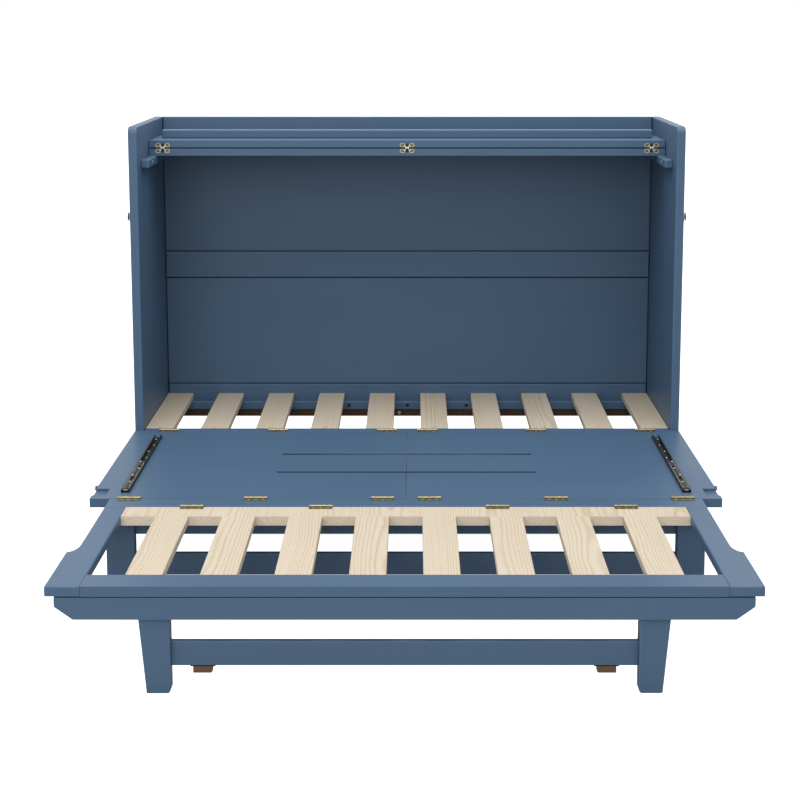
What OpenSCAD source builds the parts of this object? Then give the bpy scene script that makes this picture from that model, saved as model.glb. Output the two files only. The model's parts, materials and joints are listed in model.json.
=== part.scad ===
// Cabinet bed, opened out: a chest with a two-leaf lid, a fold-down front panel that makes the
// middle of the deck, a bridge strip, and a slatted foot frame on two folding leg frames.
// The origin is on the floor, in the middle of the open bed. The foot end is towards -Y.

/* [Deck] */
// Height of the deck above the floor
deck_h = 255; // [200:1:330]
// Thickness of the front panel, the bridge and the foot frame
board_t = 24; // [18:1:30]
// Length of the front panel
panel_l = 769; // [650:1:780]
// Length of the bridge strip
bridge_l = 80; // [60:1:100]
// Length of the foot frame
foot_l = 642; // [560:1:680]
// Thickness of a slat
slat_t = 20; // [16:1:22]
// Width of a slat
slat_w = 84; // [60:1:100]
// Number of slats in the cabinet
cabinet_slat_count = 10; // [2:2:12]
// Space between the outer slats and the cabinet's sides
slat_end_gap = 1; // [0.5:0.5:10]

/* [Cabinet] */
// Width over the side panels
cabinet_w = 1650; // [1630:2:1760]
// Depth from the front edge to the inner face of the back
bay_d = 546; // [500:1:620]
// How far the side panels stand above the folded lid
side_rise = 30; // [20:1:80]
// Thickness of the side panels
side_t = 26; // [20:1:30]
// Radius of the top front corner of the side panels
side_corner_r = 20; // [5:1:40]
// Thickness of the rails of the back
back_t = 20; // [16:1:26]
// Thickness of the panels of the back
back_panel_t = 12; // [8:1:12]
// How far the panels of the back stand behind its rails
back_step = 3; // [1:0.5:4]
// How deep the panels go into the rails of the back
back_groove_d = 8; // [5:1:12]
// Width of the shadow gaps between the rails and the panels of the back
shadow_w = 4; // [1:0.5:8]
// Depth of the shadow gaps
shadow_d = 3; // [1:0.5:4]
// How far the bottom rail of the back stands above the deck
bottom_rail_rise = 31; // [20:1:60]
// Lower edge of the middle rail of the back
mid_rail_bottom = 646; // [600:1:690]
// Height of the middle rail of the back
mid_rail_h = 85; // [60:1:120]

/* [Slat supports] */
// Depth of the front slat rail
front_rail_d = 34; // [28:1:45]
// Height of the front slat rail
front_rail_h = 55; // [45:1:80]
// Depth of the front ledger
front_ledger_d = 26; // [20:1:40]
// Depth of the rear ledger
rear_ledger_d = 38; // [25:1:50]
// Height of both ledgers
ledger_h = 28; // [22:1:30]
// Height of the raw rail below the rear ledger
raw_rail_h = 23; // [18:1:40]
// Distance from one ledger screw to the next
ledger_screw_pitch = 195; // [150:1:197]
// How far the raw rail stands behind the face of the ledger
raw_rail_step = 4; // [0:1:10]
// Sideways place of the bolt in the raw rail
bolt_x = -28; // [-60:1:60]
// Radius of a slat screw's head
slat_screw_r = 3.9; // [3:0.1:5]
// Distance from a slat's front end to its screw
slat_screw_in = 14; // [8:1:18]

/* [Lid] */
// Space between the folded bridge and the lid's underside
lid_room = 17; // [8:1:40]
// Thickness of the lid leaves
lid_t = 22; // [16:1:24]
// Distance of the folded lid's edge from the cabinet's front
lid_edge_y = 232; // [200:1:260]
// Space between the folded leaves
lid_gap = 3.6; // [3:0.1:8]
// Space between the lid's ends and the side panels
lid_end_gap = 2; // [1:0.5:4]
// Height of the batten on the front leaf
batten_h = 26; // [15:1:26]
// Depth of the batten on the front leaf
batten_d = 39; // [25:1:45]
// Space that the batten leaves in front of it when the lid is shut
batten_clear = 7; // [4:1:12]
// Side of the square lid cleats
cleat_s = 25; // [18:1:26]
// Distance of the lid cleats from the cabinet's front
cleat_front = 72; // [40:1:120]
// Distance of the outer lid hinges from the lid's ends
lid_hinge_in = 42; // [36:1:150]
// Radius of a lobe of a lid hinge
lobe_r = 6.2; // [4:0.1:7]

/* [Front panel] */
// Half the length of the grooves in the front panel
groove_half = 357; // [200:1:600]
// Width of the grooves in the front panel
groove_w = 10; // [2:0.5:12]
// Depth of the grooves in the front panel
groove_d = 5; // [1:0.5:6]
// Space between the two boards of the front panel
seam_gap = 1.2; // [0.4:0.1:2]
// Distance of the first groove from the cabinet
groove_1 = 293; // [200:1:380]
// Distance of the second groove from the cabinet
groove_2 = 496; // [420:1:600]
// Length of the lip beyond each corner cove
cove_lip = 32; // [20:1:50]
// Length of each corner cove
cove_l = 67; // [40:1:72]
// Width of each corner cove
cove_w = 37; // [20:1:45]
// Depth of each corner cove
cove_d = 7; // [3:0.5:10]

/* [Slides and hooks] */
// Distance of the slides from the front panel's sides
slide_in = 84; // [74:1:120]
// Width of the slide channels
slide_w = 22; // [18:1:30]
// Height of the slide channels
slide_h = 9; // [8:0.5:12]
// Distance of the slide channels from the cabinet
slide_start = 91; // [60:1:150]
// Distance of the slide channels from the front panel's other edge
slide_end_gap = 56; // [30:1:200]
// Length of the slide runners
runner_l = 300; // [150:1:310]
// Distance of the hook's pivot from the front panel's foot end
hook_set = 194; // [150:1:250]
// Distance of the keeper's pin behind the cabinet's front edge
keeper_y = 15; // [14:1:22]
// How far the keeper's pin is above the hook's pivot while the panel is shut
keeper_rise = 73; // [60:1:90]
// Radius of the hook's pivot screw
hook_pin_r = 2.5; // [2:0.1:3]
// Thickness of the hook
hook_t = 2.5; // [2:0.5:4]

/* [Hinges] */
// Length of a hinge
hinge_l = 60; // [40:1:75]
// Width of one hinge leaf
leaf_w = 16; // [14:1:22]
// Thickness of a hinge leaf
leaf_t = 1.6; // [1:0.1:2]
// Distance from the hinge's axis to the surface that it is screwed to
hinge_rise = 3; // [2.6:0.1:3.5]
// Radius of a hinge pin
pin_r = 1.4; // [1:0.1:1.5]
// Sideways place of the inner panel hinges
hinge_x1 = 61; // [50:1:120]
// Distance of the outer panel hinges from the panel's sides
hinge_in = 104; // [98:1:200]
// Sideways place of the inner foot hinges
foot_hinge_x1 = 226; // [120:1:300]
// Distance of the outer foot hinges from the foot frame's sides
foot_hinge_in = 217.7; // [200:0.1:300]
// How far the row of foot hinges lies to the right of the middle
foot_hinge_shift = 8.3; // [-20:0.1:20]

/* [Foot frame] */
// How far the foot frame's sides stand in from the front panel's sides
foot_narrow = 52.3; // [52:0.1:60]
// Width of the foot frame's side rails
foot_rail_w = 56.2; // [45:0.1:60]
// How far the ears stand out from the side rails
ear_out = 23.3; // [10:0.1:23.5]
// Length of the ears
ear_l = 259; // [200:1:300]
// Length of the hollow curve that leads into an ear
ear_curve_l = 62; // [30:1:90]
// Depth of the foot frame's front rail
foot_front_d = 84; // [70:1:100]
// Depth of the pine beam
beam_d = 86; // [70:1:100]
// Length of a slat's tenons
tenon_l = 18; // [10:1:24]
// Space between the outer foot slats and the side rails
foot_slat_end_gap = 86.5; // [20:0.5:90]
// How far the apron's ends stand out past the side rails
apron_out = 3.3; // [0:0.1:20]
// Height of the apron
apron_h = 54; // [40:1:70]
// Thickness of the apron
apron_t = 15; // [12:1:16]
// How far the apron stands behind the front rail's face
apron_step = 3; // [1:1:6]
// Height of the shadow gap between the apron and the front rail
apron_gap_h = 3; // [1:0.5:6]
// Depth of the shadow gap
apron_gap_d = 6; // [2:1:9]
// Width of the chamfer at the apron's ends
apron_chamfer_w = 41; // [20:1:60]
// Height of the chamfer at the apron's ends
apron_chamfer_h = 30; // [15:1:38]

/* [Leg frames] */
// Thickness of the legs
leg_t = 34; // [24:1:38]
// Distance of the front legs' inner faces from the foot frame's sides
front_leg_set = 250.1; // [220:0.1:300]
// Width of a front leg at its top
front_leg_top_w = 74.9; // [60:0.1:90]
// Width of a front leg at the floor
front_leg_foot_w = 54.6; // [40:0.1:58]
// Top of the front stretcher above the floor
front_stretcher_top = 117; // [100:1:140]
// Height of both stretchers
stretcher_h = 58; // [40:1:70]
// Thickness of both stretchers
stretcher_t = 17.5; // [14:0.5:20]
// Length of the stub tenons of the stretchers
stub_l = 12; // [8:1:20]
// Distance of each block's middle from the inner face of its leg
block_set = 70.1; // [40:0.1:200]
// Width of each block
block_w = 43.5; // [30:0.5:50]
// Height of each block
block_h = 15; // [8:1:20]
// Width of the plate over each block
plate_w = 56; // [50:1:70]
// Thickness of the plate over each block
plate_t = 1.5; // [1:0.1:3]
// Distance from the foot frame's rear edge to the front of the rear legs
rear_leg_set = 40; // [38:1:50]
// Distance of the rear legs' inner faces from the foot frame's sides
rear_leg_side = 81.7; // [78:0.1:150]
// Width of the rear legs
rear_leg_w = 72; // [50:1:76]
// Height of the rear frame's upper rail
rear_rail_h = 41; // [30:1:60]
// Distance from the rear legs' top to the top of the rear stretcher
rear_stretcher_drop = 90.7; // [80:0.1:110]

/* [Hidden] */

paint = [0.31, 0.40, 0.51];
pine = [0.88, 0.82, 0.72];
raw_wood = [0.42, 0.30, 0.20];
brass = [0.62, 0.56, 0.40];
black_steel = [0.12, 0.13, 0.13];
grey_steel = [0.35, 0.36, 0.38];

// Running space of a hinge pin in its knuckle
pin_clear = 0.06;
// Space between pieces that move past each other
move_gap = 0.3;
// Space round a screw in its hole
screw_clear = 0.1;
// Smoothness of round pieces
$fn = 48;

// Main lines, from the cabinet's front face: the foot end is on the minus side
cabinet_d = bay_d + back_t;
line_a = -panel_l;
line_b = -(panel_l + bridge_l);
foot_end = -(panel_l + bridge_l + foot_l);
front_y = (-foot_end - cabinet_d) / 2;
half_w = cabinet_w / 2;
bay_half = half_w - side_t;
foot_half = half_w - foot_narrow;
foot_rail_in = foot_half - foot_rail_w;
board_bottom = deck_h - board_t;
slat_bottom = deck_h - slat_t;
hinge_z = deck_h + hinge_rise;

// Slats: the middle of each one
function slat_x(i, count, pitch) = (i - (count - 1) / 2) * pitch;
function slat_pitch(half, count, end_gap) = (2 * (half - end_gap) - slat_w) / (count - 1);
cabinet_slat_pitch = slat_pitch(bay_half, cabinet_slat_count, slat_end_gap);
cabinet_slat_xs = [for (i = [0:cabinet_slat_count - 1]) slat_x(i, cabinet_slat_count, cabinet_slat_pitch)];
foot_slat_count = 8;
foot_slat_pitch = slat_pitch(foot_rail_in, foot_slat_count, foot_slat_end_gap);
function foot_slat_x(i) = slat_x(i - 1, foot_slat_count, foot_slat_pitch);
slat_y0 = front_rail_d;
slat_screw_y = slat_y0 + slat_screw_in;
slat_head_h = 2.5;
slat_head_sunk = 0.5;

// Back
bottom_rail_top = deck_h + bottom_rail_rise;
mid_rail_top = mid_rail_bottom + mid_rail_h;
panel_y = bay_d + back_step;
tongue_play = 0.3;

// Loose tongue in the seam of the front panel
tongue_t = 6;
tongue_w = 24;
tongue_in = 10;

// Ledger screws, from the middle outwards
ledger_screw_edge = 12;
ledger_screw_n = floor((bay_half - ledger_screw_edge) / ledger_screw_pitch);
ledger_screw_xs = [for (i = [-ledger_screw_n:ledger_screw_n]) i * ledger_screw_pitch];
ledger_screw_z = slat_bottom - ledger_h / 2;
ledger_face = bay_d - rear_ledger_d;
ledger_hole_r = 5.5;
ledger_head_r = 4.5;
ledger_hole_d = 9;
ledger_head_h = 3;
shank_r = 1.8;
raw_rail_face = ledger_face + raw_rail_step;
raw_rail_top = slat_bottom - ledger_h;
back_bottom = raw_rail_top - raw_rail_h;
bolt_r = 5.5;
bolt_out = 2;
bolt_in = 23;
bolt_z = (back_bottom + raw_rail_top) / 2;

// Lid: the folded leaves turn about a line between them. Shut, the front leaf clears the cleats.
lid_axis_drop = 0.1;
lid_rest_gap = 0.4;
lid_front_gap = 2;
lid_h = hinge_z + panel_l + hinge_rise + board_t + lid_room;
lid_axis_z = lid_h + lid_t + lid_gap / 2 - lid_axis_drop;
lid_half = bay_half - lid_end_gap;
front_leaf_z = lid_h + lid_t + lid_gap;
front_leaf_t = 2 * lid_axis_z - lid_h - front_leaf_z - lid_rest_gap;
front_leaf_d = lid_edge_y - lid_front_gap;
lid_edge_gap = 0.3;
side_h = front_leaf_z + front_leaf_t + batten_h + side_rise;
lid_hinge_x = lid_half - lid_hinge_in;
lid_hinge_xs = [-lid_hinge_x, 0, lid_hinge_x];
lobe_x = 14;
lobe_spread = 2.6;
lobe_deep = 16;
lobe_sunk = 0.3;
lobe_seat = 1;
lobe_bar_h = 8;
lobe_bar_short = 2;
knuckle_lid_r = 2.6;
knuckle_lid_half = 2;
knuckle_lid_end = 6;
knuckle_lid_gap = 0.2;
tab_lid_y = lid_edge_gap + lobe_sunk;
tab_lid_t = 2.1;
batten_out = lid_edge_y - bridge_l - batten_clear;
batten_half = foot_half - 1;
cleat_x = max(bay_half - cleat_s, foot_half + 1);
cleat_l = bay_d - cleat_front;
cleat_screw_in = 77;
cleat_screw_mid = 258;
cleat_screw_ys = [cleat_front + cleat_screw_in, cleat_front + cleat_screw_mid, bay_d - cleat_screw_in];
cleat_screw_r = 5;
cleat_head_h = 3;
cleat_head_sunk = 0.4;

// Hinges: barrel on the surface, five knuckles
barrel_r = hinge_rise - 0.1;
knuckle_n = 5;
knuckle_gap = 0.3;
leaf_start = hinge_rise + 0.1;
hinge_x3 = half_w - hinge_in;
hinge_x2 = (hinge_x1 + hinge_x3) / 2;
panel_hinge_xs = [-hinge_x3, -hinge_x2, -hinge_x1, hinge_x1, hinge_x2, hinge_x3];
foot_hinge_x2 = foot_half - foot_hinge_in;
foot_hinge_xs = [for (x = [-foot_hinge_x2, -foot_hinge_x1, foot_hinge_x1, foot_hinge_x2]) x + foot_hinge_shift];

// Slides
slide_wall = 1.4;
slide_lip = 3;
slide_play = 0.4;
slide_x = half_w - slide_in;
slide_end = line_a + slide_end_gap;
slide_l = -slide_end - slide_start;
runner_in = 8;
runner_front = slide_end + runner_in;

// Hooks: where the keeper's pin lies, seen from the hook's pivot while the panel is shut
hook_y = panel_l - hook_set;
board_mid = board_bottom + board_t / 2;
hook_z = board_mid - 5;
keeper_h = hinge_z + hook_y + keeper_rise;
hook_reach_z = keeper_y + hinge_z - hook_z;
hook_reach = sqrt(keeper_rise * keeper_rise + hook_reach_z * hook_reach_z);
hook_rest = 10;
hook_boss_r = 6;
hook_arm_w = 8;
hook_washer = 2.3;
hook_head_h = 1.8;
hook_head_r = 4.5;
hook_head_wall = 3;
hook_screw_in = 19;
hook_play = 0.2;
keeper_play = 0.4;
keeper_pin_r = 3;
keeper_plate_t = 2;
keeper_plate_h = 29;
keeper_plate_d = 16;
keeper_head_r = 12;
hook_slot_r = keeper_pin_r + 1;
hook_in = half_w + hook_washer;

// Foot frame
apron_half = foot_half + apron_out;
foot_front_y = foot_end + foot_front_d;
beam_front = line_b - beam_d;
tenon_t = 8;
tenon_z = slat_bottom + (slat_t - tenon_t) / 2;
tenon_shoulder = 12;
tenon_w = slat_w - 2 * tenon_shoulder;
tenon_play = 0.15;

// Leg frames: each turns about a line on the legs' inner top edge
leg_play = 0.5;
leg_top = board_bottom - move_gap;
leg_axis_z = board_bottom - hinge_rise;
front_leg_y = foot_end + apron_step + apron_t + leg_play;
front_leg_back = front_leg_y + leg_t;
front_axis_y = front_leg_back + hinge_rise;
rear_leg_y = line_b - rear_leg_set;
rear_axis_y = rear_leg_y - hinge_rise;
front_leg_in = foot_half - front_leg_set;
rear_leg_in = foot_half - rear_leg_side;
front_leg_mid = front_leg_in + front_leg_foot_w / 2;
rear_leg_mid = rear_leg_in + rear_leg_w / 2;
block_x = front_leg_in - block_set;
leg_hinge_share = 0.8;
leg_hinge_l = hinge_l * leg_hinge_share;
foot_chamfer_w = 5;
foot_chamfer_h = 9;
stub_t = 10;
stub_play = 0.1;
stub_shoulder = 8;
front_stretcher_z = front_stretcher_top - stretcher_h;
rear_stretcher_z = leg_top - rear_stretcher_drop - stretcher_h;
front_stretcher_y = front_leg_back - stretcher_t;
rear_stretcher_y = rear_leg_y + leg_t - stretcher_t;
rear_rail_z = leg_top - rear_rail_h;
block_round = 0.3 * block_h;

// Flat part at the back of a corner cove
cove_flat = 8;

module from_front() translate([0, front_y, 0]) children();

// A board between two corners
module board(low, high) translate(low) cube([high[0] - low[0], high[1] - low[1], high[2] - low[2]]);

// A cylinder along Y that starts at the given point
module rod_y(p, r, l) translate(p) rotate([-90, 0, 0]) cylinder(r = r, h = l);

// A cylinder along X that starts at the given point
module rod_x(p, r, l) translate(p) rotate([0, 90, 0]) cylinder(r = r, h = l);

// An outline in Y and Z, drawn out along X
module along_x(x, l) translate([x, 0, 0]) rotate([90, 0, 90]) linear_extrude(height = l) children();

// One hinge leaf. Its axis is the X axis through the origin, and its plate runs towards +Y,
// on a surface that lies hinge_rise below. The leaf with the pin has the outer knuckles.
module hinge_leaf(l, with_pin) {
    k = l / knuckle_n;
    own = with_pin ? [0, 2, 4] : [1, 3];
    difference() {
        union() {
            board([-l / 2, leaf_start, -hinge_rise],
                [l / 2, leaf_start + leaf_w, -hinge_rise + leaf_t]);
            for (i = own) {
                x0 = -l / 2 + i * k + (i == 0 ? 0 : knuckle_gap / 2);
                x1 = -l / 2 + (i + 1) * k - (i == knuckle_n - 1 ? 0 : knuckle_gap / 2);
                rod_x([x0, 0, 0], barrel_r, x1 - x0);
                board([x0, 0, -barrel_r], [x1, leaf_start + 1, -hinge_rise + leaf_t]);
            }
            if (with_pin) rod_x([-l / 2, 0, 0], pin_r, l);
        }
        if (!with_pin) rod_x([-l / 2, 0, 0], pin_r + pin_clear, l);
    }
}

// Hinge leaves on the deck, in a row, towards the back or towards the foot end
module deck_leaves(xs, y, towards_back) {
    for (x = xs) translate([x, y, hinge_z])
        mirror([0, towards_back ? 0 : 1, 0]) hinge_leaf(hinge_l, towards_back);
}

// Cabinet

module side_outline() {
    difference() {
        square([cabinet_d, side_h]);
        difference() {
            translate([0, side_h - side_corner_r]) square(side_corner_r);
            translate([side_corner_r, side_h - side_corner_r]) circle(r = side_corner_r);
        }
    }
}

module cabinet_side() from_front() difference() {
    along_x(bay_half, side_t) side_outline();
    cleat_screw_row(screw_clear);
}

module cabinet_side_left() color(paint) mirror([1, 0, 0]) cabinet_side();
module cabinet_side_right() color(paint) cabinet_side();

// Shadow gaps between the ends of the back and the side panels
module back_end_gaps() for (s = [0, 1]) mirror([s, 0, 0])
    board([bay_half - shadow_w, bay_d - 1, deck_h], [bay_half + 1, panel_y + shadow_d, side_h + 1]);

// A panel of the back. Its front is thinned over the given heights, to go into the grooves of the
// rails and to leave a shadow gap beside each rail.
module back_panel(z0, z1, thinned) difference() {
    board([-bay_half, panel_y, z0], [bay_half, panel_y + back_panel_t, z1]);
    back_end_gaps();
    for (s = thinned)
        board([-bay_half - 1, panel_y - 1, s[0]], [bay_half + 1, panel_y + shadow_d, s[1]]);
}

module panel_groove(z0, z1) {
    board([-bay_half - 1, panel_y + shadow_d - tongue_play, z0],
        [bay_half + 1, panel_y + back_panel_t + tongue_play, z1]);
}

module back_upper_panel() color(paint) from_front()
    back_panel(mid_rail_top - back_groove_d + tongue_play, side_h,
        [[mid_rail_top - back_groove_d, mid_rail_top + shadow_w]]);

module back_lower_panel() color(paint) from_front()
    back_panel(bottom_rail_top - back_groove_d + tongue_play,
        mid_rail_bottom + back_groove_d - tongue_play,
        [[bottom_rail_top - back_groove_d, bottom_rail_top + shadow_w],
            [mid_rail_bottom - shadow_w, mid_rail_bottom + back_groove_d]]);

module back_middle_rail() color(paint) from_front() difference() {
    board([-bay_half, bay_d, mid_rail_bottom], [bay_half, cabinet_d, mid_rail_top]);
    back_end_gaps();
    panel_groove(mid_rail_top - back_groove_d, mid_rail_top + 1);
    panel_groove(mid_rail_bottom - 1, mid_rail_bottom + back_groove_d);
}

module back_bottom_rail() color(paint) from_front() difference() {
    board([-bay_half, bay_d, back_bottom], [bay_half, cabinet_d, bottom_rail_top]);
    back_end_gaps();
    panel_groove(bottom_rail_top - back_groove_d, bottom_rail_top + 1);
    for (x = ledger_screw_xs) rod_y([x, bay_d - 1, ledger_screw_z], shank_r + screw_clear, back_t);
}

module cabinet_front_rail() color(paint) from_front()
    board([-bay_half, 0, deck_h - front_rail_h], [bay_half, front_rail_d, deck_h]);

// One slat screw, grown by a clearance for its hole
module slat_screw(x, c) translate([x, slat_screw_y, 0]) {
    translate([0, 0, deck_h - slat_head_sunk - slat_head_h - c])
        cylinder(r = slat_screw_r + c, h = slat_head_h + (c > 0 ? 1 : 0));
    translate([0, 0, slat_bottom - ledger_h / 2 - c])
        cylinder(r = shank_r + c, h = slat_t + ledger_h / 2 - slat_head_sunk - 1);
}

module front_ledger() color(pine) from_front() difference() {
    board([-bay_half, front_rail_d, slat_bottom - ledger_h],
        [bay_half, front_rail_d + front_ledger_d, slat_bottom]);
    for (x = cabinet_slat_xs) slat_screw(x, screw_clear);
}

module rear_ledger() color(paint) from_front() difference() {
    board([-bay_half, ledger_face, slat_bottom - ledger_h], [bay_half, bay_d, slat_bottom]);
    for (x = ledger_screw_xs) {
        rod_y([x, ledger_face - 1, ledger_screw_z], ledger_hole_r, ledger_hole_d + 1);
        rod_y([x, ledger_face, ledger_screw_z], shank_r + screw_clear, rear_ledger_d + 1);
    }
}

module rear_raw_rail() color(raw_wood) from_front() difference() {
    board([-bay_half, raw_rail_face, back_bottom], [bay_half, bay_d, raw_rail_top]);
    rod_y([bolt_x, raw_rail_face - 1, bolt_z], shank_r + screw_clear, bolt_in + 2);
}

module cabinet_slats() color(pine) from_front() for (x = cabinet_slat_xs) difference() {
    board([x - slat_w / 2, slat_y0, slat_bottom], [x + slat_w / 2, bay_d, deck_h]);
    slat_screw(x, screw_clear);
}

module slat_and_ledger_screws() color(black_steel) from_front() {
    for (x = cabinet_slat_xs) slat_screw(x, 0);
    for (x = ledger_screw_xs) {
        rod_y([x, ledger_face + ledger_hole_d - ledger_head_h, ledger_screw_z], ledger_head_r, ledger_head_h);
        rod_y([x, ledger_face + ledger_hole_d - 1, ledger_screw_z], shank_r,
            rear_ledger_d - ledger_hole_d + back_t / 2);
    }
}

module rear_rail_bolt() color(brass) from_front() {
    rod_y([bolt_x, raw_rail_face - bolt_out, bolt_z], bolt_r, bolt_out);
    rod_y([bolt_x, raw_rail_face - 1, bolt_z], shank_r, bolt_in + 1);
}

// Lid

// Space for one half of a lid hinge in the edge of a leaf, or the half itself with no clearance.
// Drawn with the hinge's axis at the origin and the leaf below it.
module lid_hinge_body(c) {
    y = c > 0 ? -1 : tab_lid_y;
    y1 = tab_lid_y + lobe_deep + c;
    z = -lid_gap / 2 - lobe_r - lobe_seat;
    for (s = [-1, 1]) hull() for (x = [lobe_x - lobe_spread, lobe_x + lobe_spread])
        rod_y([s * x, y, z], lobe_r + c, y1 - y);
    board([-lobe_x, y, z - lobe_bar_h / 2 - c], [lobe_x, y1 - lobe_bar_short, z + lobe_bar_h / 2 + c]);
}

// Space for the knuckles in the edge of a leaf
module lid_hinge_notch()
    board([-knuckle_lid_end - 1, -1, -lid_gap / 2 - lobe_r],
        [knuckle_lid_end + 1, tab_lid_y + tab_lid_t + 1, 1]);

// One half of a lid hinge: two oval lobes, a body between them, and knuckles on the axis
module lid_hinge_half(with_pin) {
    inner = knuckle_lid_half + knuckle_lid_gap;
    spans = with_pin
        ? [[-knuckle_lid_end, -inner], [inner, knuckle_lid_end]]
        : [[-knuckle_lid_half, knuckle_lid_half]];
    difference() {
        union() {
            lid_hinge_body(0);
            for (s = spans) {
                rod_x([s[0], 0, 0], knuckle_lid_r, s[1] - s[0]);
                board([s[0], tab_lid_y, -lid_gap / 2 - lobe_r], [s[1], tab_lid_y + tab_lid_t, 0]);
            }
            if (with_pin) rod_x([-knuckle_lid_end, 0, 0], pin_r, 2 * knuckle_lid_end);
        }
        if (!with_pin) rod_x([-knuckle_lid_end, 0, 0], pin_r + pin_clear, 2 * knuckle_lid_end);
    }
}

module at_lid_hinges() for (x = lid_hinge_xs) translate([x, lid_edge_y, lid_axis_z]) children();

module lid_rear_leaf() color(paint) from_front() difference() {
    board([-lid_half, lid_edge_y + lid_edge_gap, lid_h], [lid_half, bay_d, lid_h + lid_t]);
    at_lid_hinges() {
        lid_hinge_body(screw_clear);
        lid_hinge_notch();
    }
}

module lid_hinge_fixed_halves() color(brass) from_front() at_lid_hinges() lid_hinge_half(true);

module lid_front_leaf() color(paint) from_front() difference() {
    board([-lid_half, lid_edge_y + lid_edge_gap, front_leaf_z],
        [lid_half, lid_edge_y + front_leaf_d, front_leaf_z + front_leaf_t]);
    at_lid_hinges() mirror([0, 0, 1]) {
        lid_hinge_body(screw_clear);
        lid_hinge_notch();
    }
}

module lid_hinge_moving_halves() color(brass) from_front()
    at_lid_hinges() mirror([0, 0, 1]) lid_hinge_half(false);

module lid_batten() color(paint) from_front()
    board([-batten_half, lid_edge_y + batten_out - batten_d, front_leaf_z + front_leaf_t],
        [batten_half, lid_edge_y + batten_out, front_leaf_z + front_leaf_t + batten_h]);

// Screws through a cleat, or their holes with a clearance: a sunk head and a shank into the side panel
module cleat_screw_row(c) for (y = cleat_screw_ys) {
    seat = cleat_x + cleat_head_sunk + cleat_head_h;
    head_l = cleat_head_h + (c > 0 ? cleat_head_sunk + 1 : 0);
    rod_x([seat - head_l, y, lid_h - cleat_s / 2], cleat_screw_r + c, head_l);
    rod_x([seat - 1, y, lid_h - cleat_s / 2], shank_r + c, cleat_s + side_t / 2 + c);
}

module lid_cleats() color(paint) from_front() for (s = [0, 1]) mirror([s, 0, 0]) difference() {
    board([cleat_x, cleat_front, lid_h - cleat_s], [bay_half, bay_d, lid_h]);
    cleat_screw_row(screw_clear);
}

module cleat_screws() color(brass) from_front() for (s = [0, 1]) mirror([s, 0, 0]) cleat_screw_row(0);

// Keeper on the outer face of each side panel: a plate with a headed pin
module latch_keepers() color(grey_steel) from_front() for (s = [0, 1]) mirror([s, 0, 0]) {
    board([half_w, keeper_y - keeper_plate_d / 2, keeper_h - keeper_plate_h / 2],
        [half_w + keeper_plate_t, keeper_y + keeper_plate_d / 2, keeper_h + keeper_plate_h / 2]);
    rod_x([half_w, keeper_y, keeper_h], keeper_pin_r, hook_washer + hook_t + hook_head_h + keeper_play);
    rod_x([hook_in + hook_t + keeper_play, keeper_y, keeper_h], keeper_head_r, hook_head_h);
}

module cabinet_hinge_leaves() color(brass) from_front() deck_leaves(panel_hinge_xs, 0, true);

// Front panel

// Section of a corner cove: a step down at the back and a hollow curve up to the lip
module cove_outline() {
    y0 = line_a + cove_lip;
    polygon(concat(
        [[y0 + cove_l, deck_h + 1], [y0, deck_h + 1]],
        [for (a = [0:10:90]) [y0 + (cove_l - cove_flat) * (1 - cos(a)), deck_h - cove_d * sin(a)]],
        [[y0 + cove_l, deck_h - cove_d]]
    ));
}

module panel_board() from_front() difference() {
    board([seam_gap / 2, line_a + move_gap, board_bottom], [half_w, -move_gap, deck_h]);
    for (g = [groove_1, groove_2])
        board([-1, -g - groove_w / 2, deck_h - groove_d], [groove_half, -g + groove_w / 2, deck_h + 1]);
    along_x(half_w - cove_w, cove_w + 1) cove_outline();
    board([-1, line_a - 1, board_mid - tongue_t / 2 - tongue_play],
        [tongue_w / 2 + tongue_play, 1, board_mid + tongue_t / 2 + tongue_play]);
    rod_x([half_w - hook_screw_in - 1, -hook_y, hook_z], hook_pin_r + screw_clear, hook_screw_in + 2);
}

module panel_board_left() color(paint) mirror([1, 0, 0]) panel_board();
module panel_board_right() color(paint) panel_board();

module panel_tongue() color(pine) from_front()
    board([-tongue_w / 2, line_a + tongue_in, board_mid - tongue_t / 2],
        [tongue_w / 2, -tongue_in, board_mid + tongue_t / 2]);

module panel_hinge_leaves() color(brass) from_front() {
    deck_leaves(panel_hinge_xs, 0, false);
    deck_leaves(panel_hinge_xs, line_a, true);
}

// Slides: a channel with turned-in lips, and a runner inside it

module channel_outline() {
    inner = slide_w - 2 * slide_wall;
    mouth = inner - 2 * slide_lip;
    difference() {
        translate([-slide_w / 2, 0]) square([slide_w, slide_h]);
        translate([-inner / 2, slide_wall]) square([inner, slide_h - 2 * slide_wall]);
        translate([-mouth / 2, slide_wall]) square([mouth, slide_h]);
    }
}

module runner_outline() {
    w = slide_w - 2 * (slide_wall + slide_play);
    h = slide_h - 2 * (slide_wall + slide_play);
    web = slide_w - 2 * (slide_wall + slide_lip + slide_play);
    translate([-w / 2, slide_wall + slide_play]) square([w, h]);
    translate([-web / 2, slide_wall + slide_play]) square([web, slide_h - slide_wall]);
}

module slide_channel() from_front() translate([slide_x, -slide_start, deck_h])
    rotate([90, 0, 0]) linear_extrude(height = slide_l) channel_outline();

// The runner's ends are round, seen from above
module slide_runner() from_front() intersection() {
    r = slide_w / 2;
    y0 = runner_front + r;
    y1 = runner_front + runner_l - r;
    translate([slide_x, y1 + r, deck_h]) rotate([90, 0, 0])
        linear_extrude(height = runner_l) runner_outline();
    union() {
        for (y = [y0, y1]) translate([slide_x, y, deck_h]) cylinder(r = r, h = 2 * slide_h);
        board([slide_x - r, y0, deck_h], [slide_x + r, y1, deck_h + 2 * slide_h]);
    }
}

module slide_channel_left() color(black_steel) mirror([1, 0, 0]) slide_channel();
module slide_channel_right() color(black_steel) slide_channel();
module slide_runner_left() color(black_steel) mirror([1, 0, 0]) slide_runner();
module slide_runner_right() color(black_steel) slide_runner();

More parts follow.
